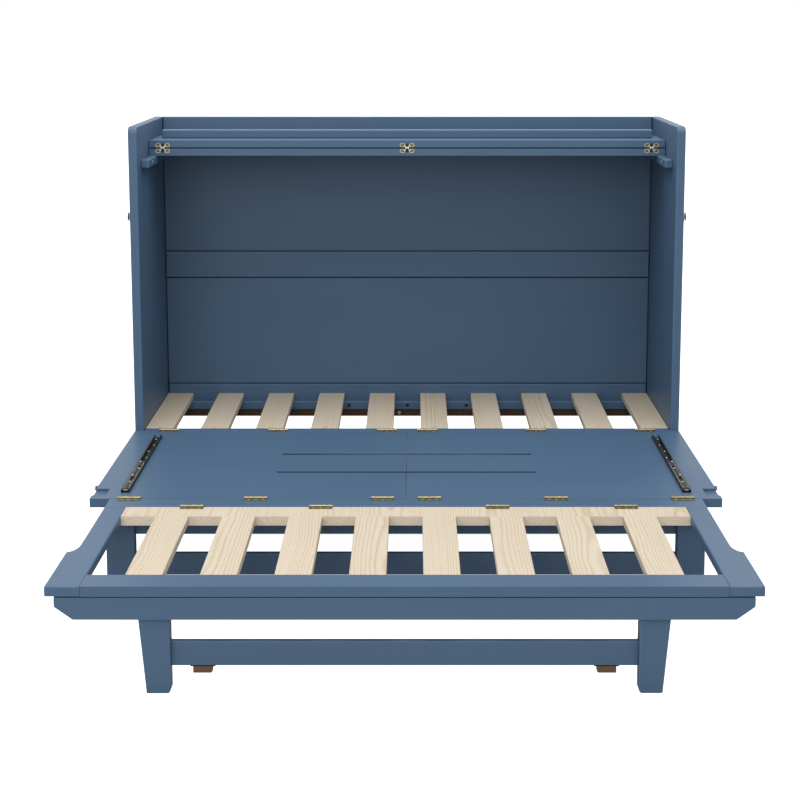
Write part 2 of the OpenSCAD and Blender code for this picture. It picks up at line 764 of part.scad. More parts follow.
// Hook: a boss on the pivot screw, an arm towards the foot end, and a head that drops over the
// keeper's pin with a slot that is open below
module hook_outline() {
    difference() {
        union() {
            circle(r = hook_boss_r);
            translate([0, -hook_arm_w / 2]) square([hook_reach, hook_arm_w]);
            translate([hook_reach, 0]) circle(r = hook_slot_r + hook_head_wall);
        }
        circle(r = hook_pin_r + pin_clear);
        translate([hook_reach, 0]) circle(r = hook_slot_r);
        translate([hook_reach - hook_slot_r, -20]) square([2 * hook_slot_r, 20]);
    }
}

module hook() from_front() translate([hook_in, -hook_y, hook_z]) rotate([-hook_rest, 0, 0])
    rotate([90, 0, 90]) linear_extrude(height = hook_t) mirror([1, 0]) hook_outline();

module hook_left() color(grey_steel) mirror([1, 0, 0]) hook();
module hook_right() color(grey_steel) hook();

module hook_screws() color(grey_steel) from_front() for (s = [0, 1]) mirror([s, 0, 0]) {
    rod_x([half_w - hook_screw_in, -hook_y, hook_z], hook_pin_r, hook_screw_in + hook_washer + hook_t + 1);
    rod_x([half_w, -hook_y, hook_z], hook_head_r, hook_washer - hook_play);
    rod_x([hook_in + hook_t + hook_play, -hook_y, hook_z], hook_head_r, hook_head_h);
}

// Bridge

module bridge_rail() color(paint) from_front()
    board([-foot_half, line_b + move_gap, board_bottom], [foot_half, line_a - move_gap, deck_h]);

module bridge_hinge_leaves() color(brass) from_front() {
    deck_leaves(panel_hinge_xs, line_a, false);
    deck_leaves(foot_hinge_xs, line_b, true);
}

// Foot frame

module foot_rail_outline() {
    ear_start = foot_end + ear_l;
    polygon(concat(
        [[foot_rail_in, line_b - move_gap], [foot_rail_in, foot_end], [foot_half + ear_out, foot_end]],
        [[foot_half + ear_out, ear_start]],
        [for (a = [80:-10:0]) [foot_half + ear_out * (1 - cos(a)), ear_start + ear_curve_l * (1 - sin(a))]],
        [[foot_half, line_b - move_gap]]
    ));
}

module foot_rail() from_front() translate([0, 0, board_bottom])
    linear_extrude(height = board_t) foot_rail_outline();

module foot_rail_left() color(paint) mirror([1, 0, 0]) foot_rail();
module foot_rail_right() color(paint) foot_rail();

// Mortise for the tenons of the foot slats
module foot_mortises(y0, y1) for (i = [1:foot_slat_count])
    board([foot_slat_x(i) - tenon_w / 2 - tenon_play, y0, tenon_z - tenon_play],
        [foot_slat_x(i) + tenon_w / 2 + tenon_play, y1, tenon_z + tenon_t + tenon_play]);

module foot_front_rail() color(paint) from_front() difference() {
    board([-foot_rail_in, foot_end, board_bottom], [foot_rail_in, foot_front_y, deck_h]);
    foot_mortises(foot_front_y - tenon_l - 1, foot_front_y + 1);
}

module foot_beam() color(pine) from_front() difference() {
    board([-foot_rail_in, beam_front, board_bottom], [foot_rail_in, line_b - move_gap, deck_h]);
    foot_mortises(beam_front - 1, beam_front + tenon_l + 1);
}

module foot_slat(i) color(pine) from_front() translate([foot_slat_x(i), 0, 0]) {
    board([-slat_w / 2, foot_front_y, slat_bottom], [slat_w / 2, beam_front, deck_h]);
    board([-tenon_w / 2, foot_front_y - tenon_l, tenon_z],
        [tenon_w / 2, beam_front + tenon_l, tenon_z + tenon_t]);
}

module apron_outline() {
    z0 = board_bottom - apron_h;
    x1 = apron_half - apron_chamfer_w;
    z1 = z0 + apron_chamfer_h;
    polygon([
        [-x1, z0], [x1, z0], [apron_half, z1],
        [apron_half, board_bottom], [-apron_half, board_bottom], [-apron_half, z1]
    ]);
}

module foot_apron() color(paint) from_front() difference() {
    translate([0, foot_end + apron_step + apron_t, 0])
        rotate([90, 0, 0]) linear_extrude(height = apron_t) apron_outline();
    board([-apron_half - 1, foot_end + apron_step - 1, board_bottom - apron_gap_h],
        [apron_half + 1, foot_end + apron_step + apron_gap_d, board_bottom + 1]);
}

module at_rear_leg_hinges() for (s = [-1, 1])
    translate([s * rear_leg_mid, rear_axis_y, leg_axis_z]) children();

module at_front_leg_hinges() for (s = [-1, 1])
    translate([s * front_leg_mid, front_axis_y, leg_axis_z]) children();

// Leaves under the deck that carry the leg frames, and the row that meets the bridge
module foot_hinge_leaves() color(brass) from_front() {
    deck_leaves(foot_hinge_xs, line_b, false);
    at_rear_leg_hinges() rotate([180, 0, 0]) hinge_leaf(leg_hinge_l, true);
    at_front_leg_hinges() mirror([0, 0, 1]) hinge_leaf(leg_hinge_l, true);
}

// Leg frames

// Stub tenon of a stretcher, or its mortise with a clearance
module stub(x, y, z, h, c) board([x - 1, y + (stretcher_t - stub_t) / 2 - c, z + stub_shoulder - c],
    [x + stub_l + (c > 0 ? 1 : 0), y + (stretcher_t + stub_t) / 2 + c, z + h - stub_shoulder + c]);

module rear_leg() from_front() difference() {
    board([rear_leg_in, rear_leg_y, 0], [rear_leg_in + rear_leg_w, rear_leg_y + leg_t, leg_top]);
    stub(rear_leg_in, rear_stretcher_y, rear_stretcher_z, stretcher_h, stub_play);
    stub(rear_leg_in, rear_stretcher_y, rear_rail_z, rear_rail_h, stub_play);
}

module rear_leg_left() color(paint) mirror([1, 0, 0]) rear_leg();
module rear_leg_right() color(paint) rear_leg();

module frame_rail(half, y, z, h) {
    board([-half, y, z], [half, y + stretcher_t, z + h]);
    for (s = [0, 1]) mirror([s, 0, 0]) stub(half, y, z, h, 0);
}

module rear_leg_rail() color(paint) from_front()
    frame_rail(rear_leg_in, rear_stretcher_y, rear_rail_z, rear_rail_h);

module rear_stretcher() color(paint) from_front()
    frame_rail(rear_leg_in, rear_stretcher_y, rear_stretcher_z, stretcher_h);

module rear_leg_hinge_leaves() color(brass) from_front()
    at_rear_leg_hinges() rotate([-90, 0, 0]) mirror([0, 0, 1]) hinge_leaf(leg_hinge_l, false);

module front_leg_outline() polygon([
    [front_leg_in, foot_chamfer_h], [front_leg_in + foot_chamfer_w, 0],
    [front_leg_in + front_leg_foot_w, 0], [front_leg_in + front_leg_top_w, leg_top], [front_leg_in, leg_top]
]);

module front_leg() from_front() difference() {
    translate([0, front_leg_back, 0]) rotate([90, 0, 0]) linear_extrude(height = leg_t) front_leg_outline();
    stub(front_leg_in, front_stretcher_y, front_stretcher_z, stretcher_h, stub_play);
}

module front_leg_left() color(paint) mirror([1, 0, 0]) front_leg();
module front_leg_right() color(paint) front_leg();

module front_stretcher() color(paint) from_front()
    frame_rail(front_leg_in, front_stretcher_y, front_stretcher_z, stretcher_h);

module front_leg_hinge_leaves() color(brass) from_front()
    at_front_leg_hinges() rotate([-90, 0, 0]) hinge_leaf(leg_hinge_l, false);

module block_plates() color(black_steel) from_front() for (s = [-1, 1])
    board([s * block_x - plate_w / 2, front_stretcher_y, front_stretcher_z - plate_t],
        [s * block_x + plate_w / 2, front_leg_back, front_stretcher_z]);

// Each block has its lower corner towards the middle rounded
module block_outline() {
    r = block_round;
    z0 = front_stretcher_z - plate_t - block_h;
    difference() {
        translate([block_x - block_w / 2, z0]) square([block_w, block_h]);
        difference() {
            translate([block_x - block_w / 2 - 1, z0 - 1]) square(r + 1);
            translate([block_x - block_w / 2 + r, z0 + r]) circle(r = r);
        }
    }
}

module blocks() color(raw_wood) from_front() for (s = [0, 1]) mirror([s, 0, 0])
    translate([0, front_leg_back, 0]) rotate([90, 0, 0]) linear_extrude(height = stretcher_t) block_outline();

cabinet_side_left();
cabinet_side_right();
back_upper_panel();
back_middle_rail();
back_lower_panel();
back_bottom_rail();
cabinet_front_rail();
front_ledger();
rear_ledger();
rear_raw_rail();
cabinet_slats();
lid_rear_leaf();
lid_cleats();
latch_keepers();
slat_and_ledger_screws();
cleat_screws();
rear_rail_bolt();
cabinet_hinge_leaves();
lid_hinge_fixed_halves();
lid_front_leaf();
lid_batten();
lid_hinge_moving_halves();
panel_board_left();
panel_board_right();
panel_tongue();
panel_hinge_leaves();
slide_channel_left();
slide_channel_right();
hook_screws();
slide_runner_left();
slide_runner_right();
hook_left();
hook_right();
bridge_rail();
bridge_hinge_leaves();
foot_rail_left();
foot_rail_right();
foot_front_rail();
foot_beam();
foot_apron();
foot_slat(1);  // foot_slat_1
foot_slat(2);  // foot_slat_2
foot_slat(3);  // foot_slat_3
foot_slat(4);  // foot_slat_4
foot_slat(5);  // foot_slat_5
foot_slat(6);  // foot_slat_6
foot_slat(7);  // foot_slat_7
foot_slat(8);  // foot_slat_8
foot_hinge_leaves();
rear_leg_left();
rear_leg_right();
rear_leg_rail();
rear_stretcher();
rear_leg_hinge_leaves();
front_leg_left();
front_leg_right();
front_stretcher();
front_leg_hinge_leaves();
block_plates();
blocks();
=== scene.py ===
"""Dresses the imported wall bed: eased painted boards, pine slats, brass hinges, slides, hooks and a studio."""

import json
import math

import bmesh
import bpy
from bpy.props import FloatProperty, FloatVectorProperty, IntProperty, PointerProperty
from bpy.types import Operator, Panel, PropertyGroup
from mathutils import Matrix, Vector


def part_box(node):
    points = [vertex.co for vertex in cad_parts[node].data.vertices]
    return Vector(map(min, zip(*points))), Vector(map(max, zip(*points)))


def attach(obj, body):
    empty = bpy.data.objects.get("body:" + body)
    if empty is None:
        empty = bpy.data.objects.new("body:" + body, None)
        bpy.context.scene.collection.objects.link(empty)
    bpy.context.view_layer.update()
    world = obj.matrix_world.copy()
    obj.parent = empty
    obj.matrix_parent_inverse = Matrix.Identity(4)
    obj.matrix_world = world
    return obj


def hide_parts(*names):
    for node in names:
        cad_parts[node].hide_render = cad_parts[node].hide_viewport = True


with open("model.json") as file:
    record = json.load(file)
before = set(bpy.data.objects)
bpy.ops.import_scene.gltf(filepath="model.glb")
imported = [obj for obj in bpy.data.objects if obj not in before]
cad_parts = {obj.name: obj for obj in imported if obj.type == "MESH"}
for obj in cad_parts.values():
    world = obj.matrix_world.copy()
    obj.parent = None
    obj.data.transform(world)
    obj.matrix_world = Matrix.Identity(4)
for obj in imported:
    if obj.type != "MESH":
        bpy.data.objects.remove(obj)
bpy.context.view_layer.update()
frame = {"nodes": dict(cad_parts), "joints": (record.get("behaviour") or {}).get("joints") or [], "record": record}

bl_info = {
    "name": "Wall bed",
    "version": (1, 0, 0),
    "blender": (4, 5, 0),
    "location": "View3D > Sidebar > Wall bed",
    "description": "Dresses the frame of a wall bed with its boards, slats, hinges and studio",
    "category": "Object",
}

# Outer face of the side panels
CAD_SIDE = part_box("cabinet_side_right")[1].x

# Angles from which an edge counts as a corner, and from which it is shown sharp
SHARP = math.radians(25)
SMOOTH = math.radians(35)

# Names that the materials share with the meshes
GRAIN = "grain"
EASED = "eased"
RECESS_SHADE_MASK = "recess"
END_GRAIN = "end_grain"

# The foot slats and the beam are cut from staves that lie side by side, one to a slat
FOOT_SLATS = [f"foot_slat_{i}" for i in range(1, 9)]
STAVED = [*FOOT_SLATS, "foot_beam"]
STAVE_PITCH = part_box("foot_slat_2")[0].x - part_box("foot_slat_1")[0].x
STAVE_START = sum(corner.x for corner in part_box("foot_slat_1")) / 2
# Distance between the stretches of trunk that the other boards are cut from
TRUNK_PITCH = 3.7

# Which frame nodes are made of what
PINE_BOARDS = ["front_ledger", "foot_beam"] + FOOT_SLATS
# The rear raw rail gets a darker copy of the raw wood: painted shade from the slats above it
RAW_BOARDS = {"rear_raw_rail": "dark_raw_wood", "blocks": "raw_wood"}
HINGE_ROWS = {
    "cabinet_hinge_leaves": ("panel_fold",),
    "panel_hinge_leaves": ("panel_fold", "bridge_fold"),
    "bridge_hinge_leaves": ("bridge_fold", "foot_fold"),
    "foot_hinge_leaves": ("foot_fold", "rear_legs_fold", "front_legs_fold"),
    "rear_leg_hinge_leaves": ("rear_legs_fold",),
    "front_leg_hinge_leaves": ("front_legs_fold",),
}
PAINTED_BOARDS = [
    row["node"]
    for row in frame["record"]["subparts"]
    if row["material_slot"] == "painted_wood" and row["node"] not in HINGE_ROWS
]
# The hinges of the leg frames are painted over
PAINTED_HINGES = ("rear_legs_fold", "front_legs_fold")
BODIES = frame["record"]["behaviour"]["bodies"]
BODY_OF = {node: body for body, nodes in BODIES.items() for node in nodes}
AXIS_OF = {joint["name"]: joint.get("pos_m") for joint in frame["joints"]}


def measure(name, description, default, unit="LENGTH"):
    """A setting that is a number, in metres where no other unit is named."""
    return FloatProperty(name=name, description=description, default=default, unit=unit)


def swatch(name, description, *shown):
    """A setting that is a colour, given from 0 to 255 as a screen shows it and kept as linear light."""
    light = []
    for part in shown:
        share = part / 255
        light.append(share / 12.92 if share <= 0.04045 else ((share + 0.055) / 1.055) ** 2.4)
    return FloatVectorProperty(name=name, description=description, subtype="COLOR", default=tuple(light))


class BedBoards(PropertyGroup):
    """Sizes of the rounded edges, the hinges, the slides and the grain"""

    board_round: measure("Board edge", "Radius of a painted board's edges", 0.0034)
    # Grooves narrower than this are marked for painted shade
    recess_width: measure("Recess", "Width under which a long groove lies in the dark", 0.0125)
    slat_round: measure("Slat edge", "Radius of a pine board's edges", 0.0018)
    metal_round: measure("Metal edge", "Radius of a metal piece's edges", 0.0004)
    edge_steps: IntProperty(name="Edge steps", description="Faces across a rounded edge", default=3, min=1)
    hinge_corner: measure("Hinge corner", "Radius of a hinge plate's outer corners", 0.0035)
    hinge_screw: measure("Hinge screw", "Radius of a hinge screw's head", 0.0036)
    ball: measure("Slide ball", "Radius of a ball in the slides", 0.0012)
    ball_pitch: measure("Ball pitch", "Distance between the balls of a slide", 0.0085)
    rivet_pitch: measure("Rivet pitch", "Distance between the rivets of a slide", 0.074)
    ring_gap: measure("Pine rings", "Width of a year's growth in the pine", 0.0052)


class BedColours(PropertyGroup):
    """Colours of the finishes"""

    paint: swatch("Paint", "Blue paint of the boards", 64, 87, 111)
    pine: swatch("Pine", "Early wood of the slats", 185, 174, 157)
    pine_ring: swatch("Pine ring", "Late wood of the slats", 166, 150, 126)
    raw: swatch("Raw wood", "Brown blocks and rear rail", 96, 72, 50)
    # The knuckles' paler brass is a painted highlight, and the plates' darker brass is partly painted shade
    brass: swatch("Brass", "Worn brass of the butt hinges' knuckles and screws", 162, 154, 126)
    aged_brass: swatch("Aged brass", "Darker brass of the hinge plates", 136, 124, 72)
    zinc: swatch("Zinc", "Lid hinges' rims, pale screws, rivets and balls", 200, 196, 178)
    black: swatch("Black steel", "Slides, plates and dark screws", 24, 26, 24)
    grey: swatch("Grey steel", "Hooks and keepers", 128, 134, 142)


class BedStudio(PropertyGroup):
    """Camera and lights"""

    camera_side: measure("Camera side", "Sideways place of the camera", 0.0193)
    camera_back: measure("Camera distance", "Distance in front of the bed's middle", 4.7801)
    camera_height: measure("Camera height", "Height of the camera", 1.4928)
    camera_down: measure("Camera tilt", "How far the camera looks down", math.radians(9.193), "ROTATION")
    lens: measure("Lens", "Focal length in millimetres", 79.68, "NONE")
    shift_x: measure("Shift across", "Sideways shift of the lens", -0.0167, "NONE")
    shift_y: measure("Shift up", "Upward shift of the lens", -0.12, "NONE")
    floor_glow: measure("Floor glow", "How much brighter the floor looks than it is lit", 0.95, "NONE")
    sky: measure("Sky", "Strength of the light from all round", 1.0, "NONE")
    top_light: measure("Top light", "Power of the light above", 101.0, "POWER")
    front_light: measure("Front light", "Power of the light in front", 80.0, "POWER")


# Materials


def put(tree, kind, sockets=None, **settings):
    """Adds a shader node. A socket is linked where its value is a socket, and otherwise set."""
    made = tree.nodes.new("ShaderNode" + kind)
    for key, value in settings.items():
        setattr(made, key, value)
    for key, value in (sockets or {}).items():
        if isinstance(value, bpy.types.NodeSocket):
            tree.links.new(value, made.inputs[key])
        else:
            made.inputs[key].default_value = value
    return made


def finish_start(name, **values):
    """A new material with its shader, and the shader's plain values."""
    material = bpy.data.materials.new(name)
    material.use_nodes = True
    tree = material.node_tree
    tree.nodes.clear()
    shader = put(tree, "BsdfPrincipled")
    put(tree, "OutputMaterial", {"Surface": shader.outputs["BSDF"]})
    for key, value in values.items():
        shader.inputs[key.replace("_", " ")].default_value = value
    return material, tree, shader


def ramp(tree, factor, stops):
    """Colours along a factor: each stop is a place from 0 to 1 and a colour."""
    made = put(tree, "ValToRGB", {"Fac": factor})
    elements = made.color_ramp.elements
    while len(elements) < len(stops):
        elements.new(0.5)
    for element, (place, colour) in zip(elements, stops):
        element.position = place
        element.color = (*colour, 1)
    return made.outputs["Color"]


def shade(colour, share):
    """A colour made lighter or darker by a share."""
    return tuple(part * share for part in colour)


def noise(tree, at, scale, detail=3.0, roughness=0.5):
    """Noise between 0 and 1 at the given coordinates, with one scale or one for each way."""
    if isinstance(scale, tuple):
        at = put(tree, "Mapping", {"Vector": at, "Scale": scale}).outputs[0]
        scale = 1.0
    made = put(tree, "TexNoise", {"Vector": at, "Scale": scale, "Detail": detail, "Roughness": roughness})
    return made.outputs[0]


def math_node(tree, what, first, second=0.5):
    """The result of one sum."""
    return put(tree, "Math", {0: first, 1: second}, operation=what).outputs[0]


def plus(tree, first, second):
    """Two values added."""
    return math_node(tree, "ADD", first, second)


def times(tree, first, second):
    """Two values multiplied."""
    return math_node(tree, "MULTIPLY", first, second)


def blend(tree, share, first, second, **settings):
    """Two colours mixed by a share of the second."""
    return put(tree, "Mix", {0: share, 6: first, 7: second}, data_type="RGBA", **settings).outputs[2]


def stored(tree, name, output="Fac"):
    """What a mesh stores under a name."""
    return put(tree, "Attribute", attribute_name=name).outputs[output]


def level(tree, factor, first, last):
    """A value that goes from first to last while a factor goes from 0.3 to 0.7."""
    return ramp(tree, factor, [(0.3, (first,) * 3), (0.7, (last,) * 3)])


def skin_of(tree, shader, colour, gloss, height=None, depth=0.0):
    """Links a material's colour and roughness, and its bumps, from their height between 0 and 1."""
    tree.links.new(colour, shader.inputs["Base Color"])
    tree.links.new(gloss, shader.inputs["Roughness"])
    if height is not None:
        bumps = put(tree, "Bump", {"Height": height, "Distance": depth, "Strength": 1.0})
        tree.links.new(bumps.outputs[0], shader.inputs["Normal"])


# Depth of the bumps in paint and metal, and in bare wood
FINE_BUMP = 0.00006
WOOD_BUMP = 0.0002
# How much lighter the paint is on the eased edges, a painted highlight, and how dark it is in a recess, painted
# shade
EDGE_HIGHLIGHT = 1.3
RECESS_SHADE = 0.1


def painted_wood(paint):
    """Satin paint over close wood: almost even, with a painted highlight on its eased edges and painted shade in
    its recesses.
    """
    material, tree, shader = finish_start("blue_painted_wood", Specular_IOR_Level=0.24)
    at = stored(tree, GRAIN, "Vector")
    streaks = noise(tree, at, (150, 4, 150), 4.0, 0.6)
    clouds = noise(tree, at, (4, 1.6, 4), 2.0)
    mottle = plus(tree, times(tree, streaks, 0.4), times(tree, clouds, 0.6))
    body = ramp(tree, mottle, [(0.35, shade(paint, 0.965)), (0.65, shade(paint, 1.03))])
    # Painted highlight: the rounded edges are made paler in patches
    highlight_mask = times(tree, stored(tree, EASED), noise(tree, at, 35.0, 3.0))
    edge_lit = blend(tree, highlight_mask, body, (*shade(paint, EDGE_HIGHLIGHT), 1))
    # Painted shade: the marked recesses get a much darker paint
    colour = blend(tree, stored(tree, RECESS_SHADE_MASK), edge_lit, (*shade(paint, RECESS_SHADE), 1))
    peel = noise(tree, at, 700.0, 2.0)
    height = plus(tree, times(tree, streaks, 0.6), times(tree, peel, 0.4))
    skin_of(tree, shader, colour, level(tree, clouds, 0.38, 0.46), height, FINE_BUMP)
    return material


# A stave's pith: the range to its sides that it lies in, its least distance there, and its sway
PITH_RANGE = 0.2
PITH_LEAST = 0.03
PITH_SWAY = 0.03
# Its least depth, how much deeper it may lie, how far it sinks, and the scale of its drift
PITH_DEPTH = 0.03
PITH_DEEPER = 0.05
PITH_SINK = 0.02
DRIFT = 1.7
# How far the rings waver
RING_WAVER = 0.004


def pith_distance(tree, at, parts, stave, trunk):
    """How far a point lies from the pith of its stave, beside and below it."""
    stave_key = put(tree, "CombineXYZ", {"X": stave, "Y": trunk}).outputs[0]
    luck = put(tree, "TexWhiteNoise", {"Vector": stave_key}).outputs["Color"]
    lucks = put(tree, "SeparateXYZ", {"Vector": luck}).outputs
    along = put(tree, "CombineXYZ", {"X": stave, "Y": parts["Y"]}).outputs[0]
    drift = put(tree, "TexNoise", {"Vector": along, "Scale": DRIFT, "Detail": 1.0}).outputs["Color"]
    drifts = put(tree, "SeparateXYZ", {"Vector": drift}).outputs
    lot = math_node(tree, "SUBTRACT", lucks["X"], 0.5)
    least = times(tree, math_node(tree, "SIGN", lot), PITH_LEAST)
    beside = plus(tree, times(tree, lot, PITH_RANGE), least)
    sway = times(tree, math_node(tree, "SUBTRACT", drifts["X"], 0.5), PITH_SWAY)
    below = plus(tree, times(tree, lucks["Y"], PITH_DEEPER), PITH_DEPTH)
    sink = times(tree, drifts["Y"], PITH_SINK)
    own_x = math_node(tree, "SUBTRACT", parts["X"], times(tree, stave, STAVE_PITCH))
    x = plus(tree, plus(tree, own_x, beside), sway)
    z = plus(tree, plus(tree, parts["Z"], below), sink)
    squares = plus(tree, times(tree, x, x), times(tree, z, z))
    ripple = noise(tree, at, (40, 6, 40), 3.0)
    return plus(tree, math_node(tree, "SQRT", squares), times(tree, ripple, RING_WAVER))


def sawn_wood(name, early, late, ring_gap, roughness):
    """Bare wood. The rings of each stave lie round its own pith, which drifts slowly."""
    material, tree, shader = finish_start(name, Specular_IOR_Level=0.25)
    at = stored(tree, GRAIN, "Vector")
    parts = put(tree, "SeparateXYZ", {"Vector": at}).outputs
    stave = math_node(tree, "ROUND", math_node(tree, "DIVIDE", parts["X"], STAVE_PITCH))
    trunk = math_node(tree, "ROUND", math_node(tree, "DIVIDE", parts["Y"], TRUNK_PITCH))
    years = math_node(tree, "DIVIDE", pith_distance(tree, at, parts, stave, trunk), ring_gap)
    season = math_node(tree, "FRACT", years)
    year = put(tree, "CombineXYZ", {"X": math_node(tree, "FLOOR", years), "Y": trunk}).outputs[0]
    dry = put(tree, "TexWhiteNoise", {"Vector": year}).outputs["Value"]
    fibres = noise(tree, at, (1100, 16, 1100), 3.0, 0.6)
    figure = plus(tree, season, times(tree, math_node(tree, "SUBTRACT", fibres, 0.5), 0.3))
    strength = plus(tree, times(tree, dry, 0.6), 0.4)
    cuts = []
    # Long grain first, then the paler ends that are cut across it
    for pale, dark in ((early, late), (shade(early, 1.3), shade(late, 0.95))):
        mid = tuple((a * 3 + b) / 4 for a, b in zip(pale, dark))
        rings = ramp(tree, figure, [(0.0, mid), (0.15, pale), (0.5, pale), (0.86, dark), (1.0, mid)])
        cuts.append(blend(tree, strength, (*pale, 1), rings))
    colour = blend(tree, stored(tree, END_GRAIN), *cuts)
    patches = noise(tree, at, (9, 2.2, 9), 2.0)
    pores = noise(tree, at, (700, 45, 700), 2.0, 0.7)
    for spots, first, last, tone in (
        (patches, 0.3, 0.7, (0.95, 0.94, 0.92)),
        (pores, 0.34, 0.48, (0.87, 0.85, 0.81)),
    ):
        tint = ramp(tree, spots, [(first, tone), (last, (1, 1, 1))])
        colour = blend(tree, 1.0, colour, tint, blend_type="MULTIPLY")
    height = plus(tree, times(tree, fibres, 0.6), times(tree, season, -0.3))
    gloss = level(tree, fibres, roughness - 0.06, roughness + 0.06)
    skin_of(tree, shader, colour, gloss, height, WOOD_BUMP)
    return material


def metal(name, colour, roughness, stain, metallic=1.0):
    """Metal with a mottled skin that darkens it in places."""
    material, tree, shader = finish_start(name, Metallic=metallic)
    at = put(tree, "TexCoord").outputs["Object"]
    mottle = noise(tree, at, 420.0, 4.0, 0.6)
    stained = ramp(tree, mottle, [(0.35, shade(colour, 1 - stain)), (0.62, colour)])
    gloss = level(tree, mottle, roughness + 0.1, roughness - 0.06)
    skin_of(tree, shader, stained, gloss, noise(tree, at, 1500.0, 2.0), FINE_BUMP)
    return material


def floor_paper(name, glow):
    """Pale studio paper. It looks brighter than the light that it throws back on the bed."""
    material, tree, shader = finish_start(name, Specular_IOR_Level=0.1, Emission_Color=(1, 1, 1, 1))
    seen = put(tree, "LightPath").outputs["Is Camera Ray"]
    tree.links.new(times(tree, seen, glow), shader.inputs["Emission Strength"])
    fleck = noise(tree, put(tree, "TexCoord").outputs["Object"], 60.0, 3.0)
    skin_of(tree, shader, level(tree, fleck, 0.54, 0.56), level(tree, fleck, 0.85, 0.95))
    return material


# Width of a year's growth in the brown wood, and its roughness
RAW_WOOD = (0.003, 0.75)

FINISHES = {}


def finish_of(name):
    """The named finish, made once from the scene's colours."""
    if name not in FINISHES:
        colours = bpy.context.scene.bed_colours
        ring_gap = bpy.context.scene.bed_boards.ring_gap
        raw = colours.raw
        makers = {
            "painted_wood": (painted_wood, colours.paint),
            "pine": (sawn_wood, "pale_pine", colours.pine, colours.pine_ring, ring_gap, 0.62),
            "raw_wood": (sawn_wood, "brown_raw_wood", raw, shade(raw, 0.6), *RAW_WOOD),
            # Painted shade: a darker copy of the raw wood for the rear rail
            "dark_raw_wood": (sawn_wood, "dark_raw_wood", shade(raw, 0.4), shade(raw, 0.25), *RAW_WOOD),
            "brass": (metal, "worn_brass", colours.brass, 0.34, 0.45),
            "aged_brass": (metal, "aged_brass", colours.aged_brass, 0.42, 0.6),
            # A screw's cross recess is painted almost black: painted shade
            "brass_recess": (metal, "brass_recess", shade(colours.brass, 0.07), 0.5, 0.5, 0.6),
            "zinc": (metal, "zinc", colours.zinc, 0.3, 0.3, 0.7),
            "black_steel": (metal, "black_steel", colours.black, 0.48, 0.3, 0.2),
            "grey_steel": (metal, "grey_steel", colours.grey, 0.4, 0.35),
        }
        maker, *values = makers[name]
        FINISHES[name] = maker(*values)
    return FINISHES[name]


# Shapes


def solids_of(node):
    """The separate solids of a frame node, each as a mesh in the making."""
    whole = bmesh.new()
    whole.from_mesh(frame["nodes"][node].data)
    bmesh.ops.remove_doubles(whole, verts=whole.verts, dist=1e-5)
    whole.verts.index_update()
    solids, done = [], set()
    for start in whole.verts:
        if start.index in done:
            continue
        island, todo = set(), [start]
        while todo:
            vert = todo.pop()
            if vert.index not in island:
                island.add(vert.index)
                todo += [edge.other_vert(vert) for edge in vert.link_edges]
        done |= island
        solid = whole.copy()
        spare = [vert for vert in solid.verts if vert.index not in island]
        bmesh.ops.delete(solid, geom=spare, context="VERTS")
        solids.append(solid)
    whole.free()
    return solids


def corners_of(verts):
    """Lowest and highest corner of a mesh, from its vertices."""
    low = Vector([min(vert.co[i] for vert in verts) for i in range(3)])
    high = Vector([max(vert.co[i] for vert in verts) for i in range(3)])
    return low, high


def reach_from(face, edge):
    """How far a face reaches from one of its edges."""
    start = edge.verts[0].co
    inward = face.normal.cross((edge.verts[1].co - start).normalized())
    return max(abs((vert.co - start).dot(inward)) for vert in face.verts)


# Width under which any face in a corner is a recess, and how slim a wider one has to be
SLIT = 0.0025
SLIM = 12
# How many radii a face has to reach in from an edge for that edge to be rounded
EASE_ROOM = 1.6


def mark_recesses(bm, widest):
    """Marks the faces inside a board's long narrow grooves and gaps, and in its small holes, for painted shade."""
    recess = bm.faces.layers.float.new(RECESS_SHADE_MASK)
    for face in bm.faces:
        inner = [e for e in face.edges if e.is_manifold and not e.is_convex and e.calc_face_angle() > SHARP]
        length = face.calc_perimeter() / 2
        width = face.calc_area() / length
        if inner and (width < SLIT or width < min(widest, length / SLIM)):
            face[recess] = 1.0
    return recess


def ease_edges(bm, radius, steps, shortest=0.0011, recess_width=0.0):
    """Rounds the outer edges of a solid, but leaves the rims of its grooves, gaps and small holes."""
    bmesh.ops.dissolve_limit(bm, angle_limit=math.radians(1.0), verts=bm.verts, edges=bm.edges)
    recess = mark_recesses(bm, recess_width)
    outer = [
        edge
        for edge in bm.edges
        if edge.is_manifold
        and edge.is_convex
        and edge.calc_length() > shortest
        and edge.calc_face_angle() > SHARP
        and not any(face[recess] for face in edge.link_faces)
        and min(reach_from(face, edge) for face in edge.link_faces) > EASE_ROOM * radius
    ]
    # The rounded faces are marked so that the paint gets a painted highlight on them
    eased = bm.faces.layers.float.new(EASED)
    made = bmesh.ops.bevel(
        bm, geom=outer, offset=radius, segments=steps, profile=0.5, affect="EDGES", clamp_overlap=True
    )
    for face in made["faces"]:
        face[eased] = 1.0


def in_scene(name, data):
    """A new object in the scene."""
    made = bpy.data.objects.new(name, data)
    bpy.context.scene.collection.objects.link(made)
    return made


def piece_from(name, bm, node, finishes, instead=True):
    """Makes a shown piece from a mesh. It rides with a frame node, and mostly stands for it."""
    body = BODY_OF[node]
    mesh = bpy.data.meshes.new(name)
    bm.to_mesh(mesh)
    bm.free()
    for finish in finishes:
        mesh.materials.append(finish_of(finish))
    mesh.shade_smooth()
    mesh.set_sharp_from_angle(angle=SMOOTH)
    piece = in_scene(name, mesh)
    even = piece.modifiers.new("even_normals", "WEIGHTED_NORMAL")
    even.keep_sharp = True
    even.weight = 100
    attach(piece, body)
    if instead:
        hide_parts(node)
    return piece


# How straight a face looks along the grain where it is a cut end
END_FACE = 0.8
BOARD_COUNT = [0]


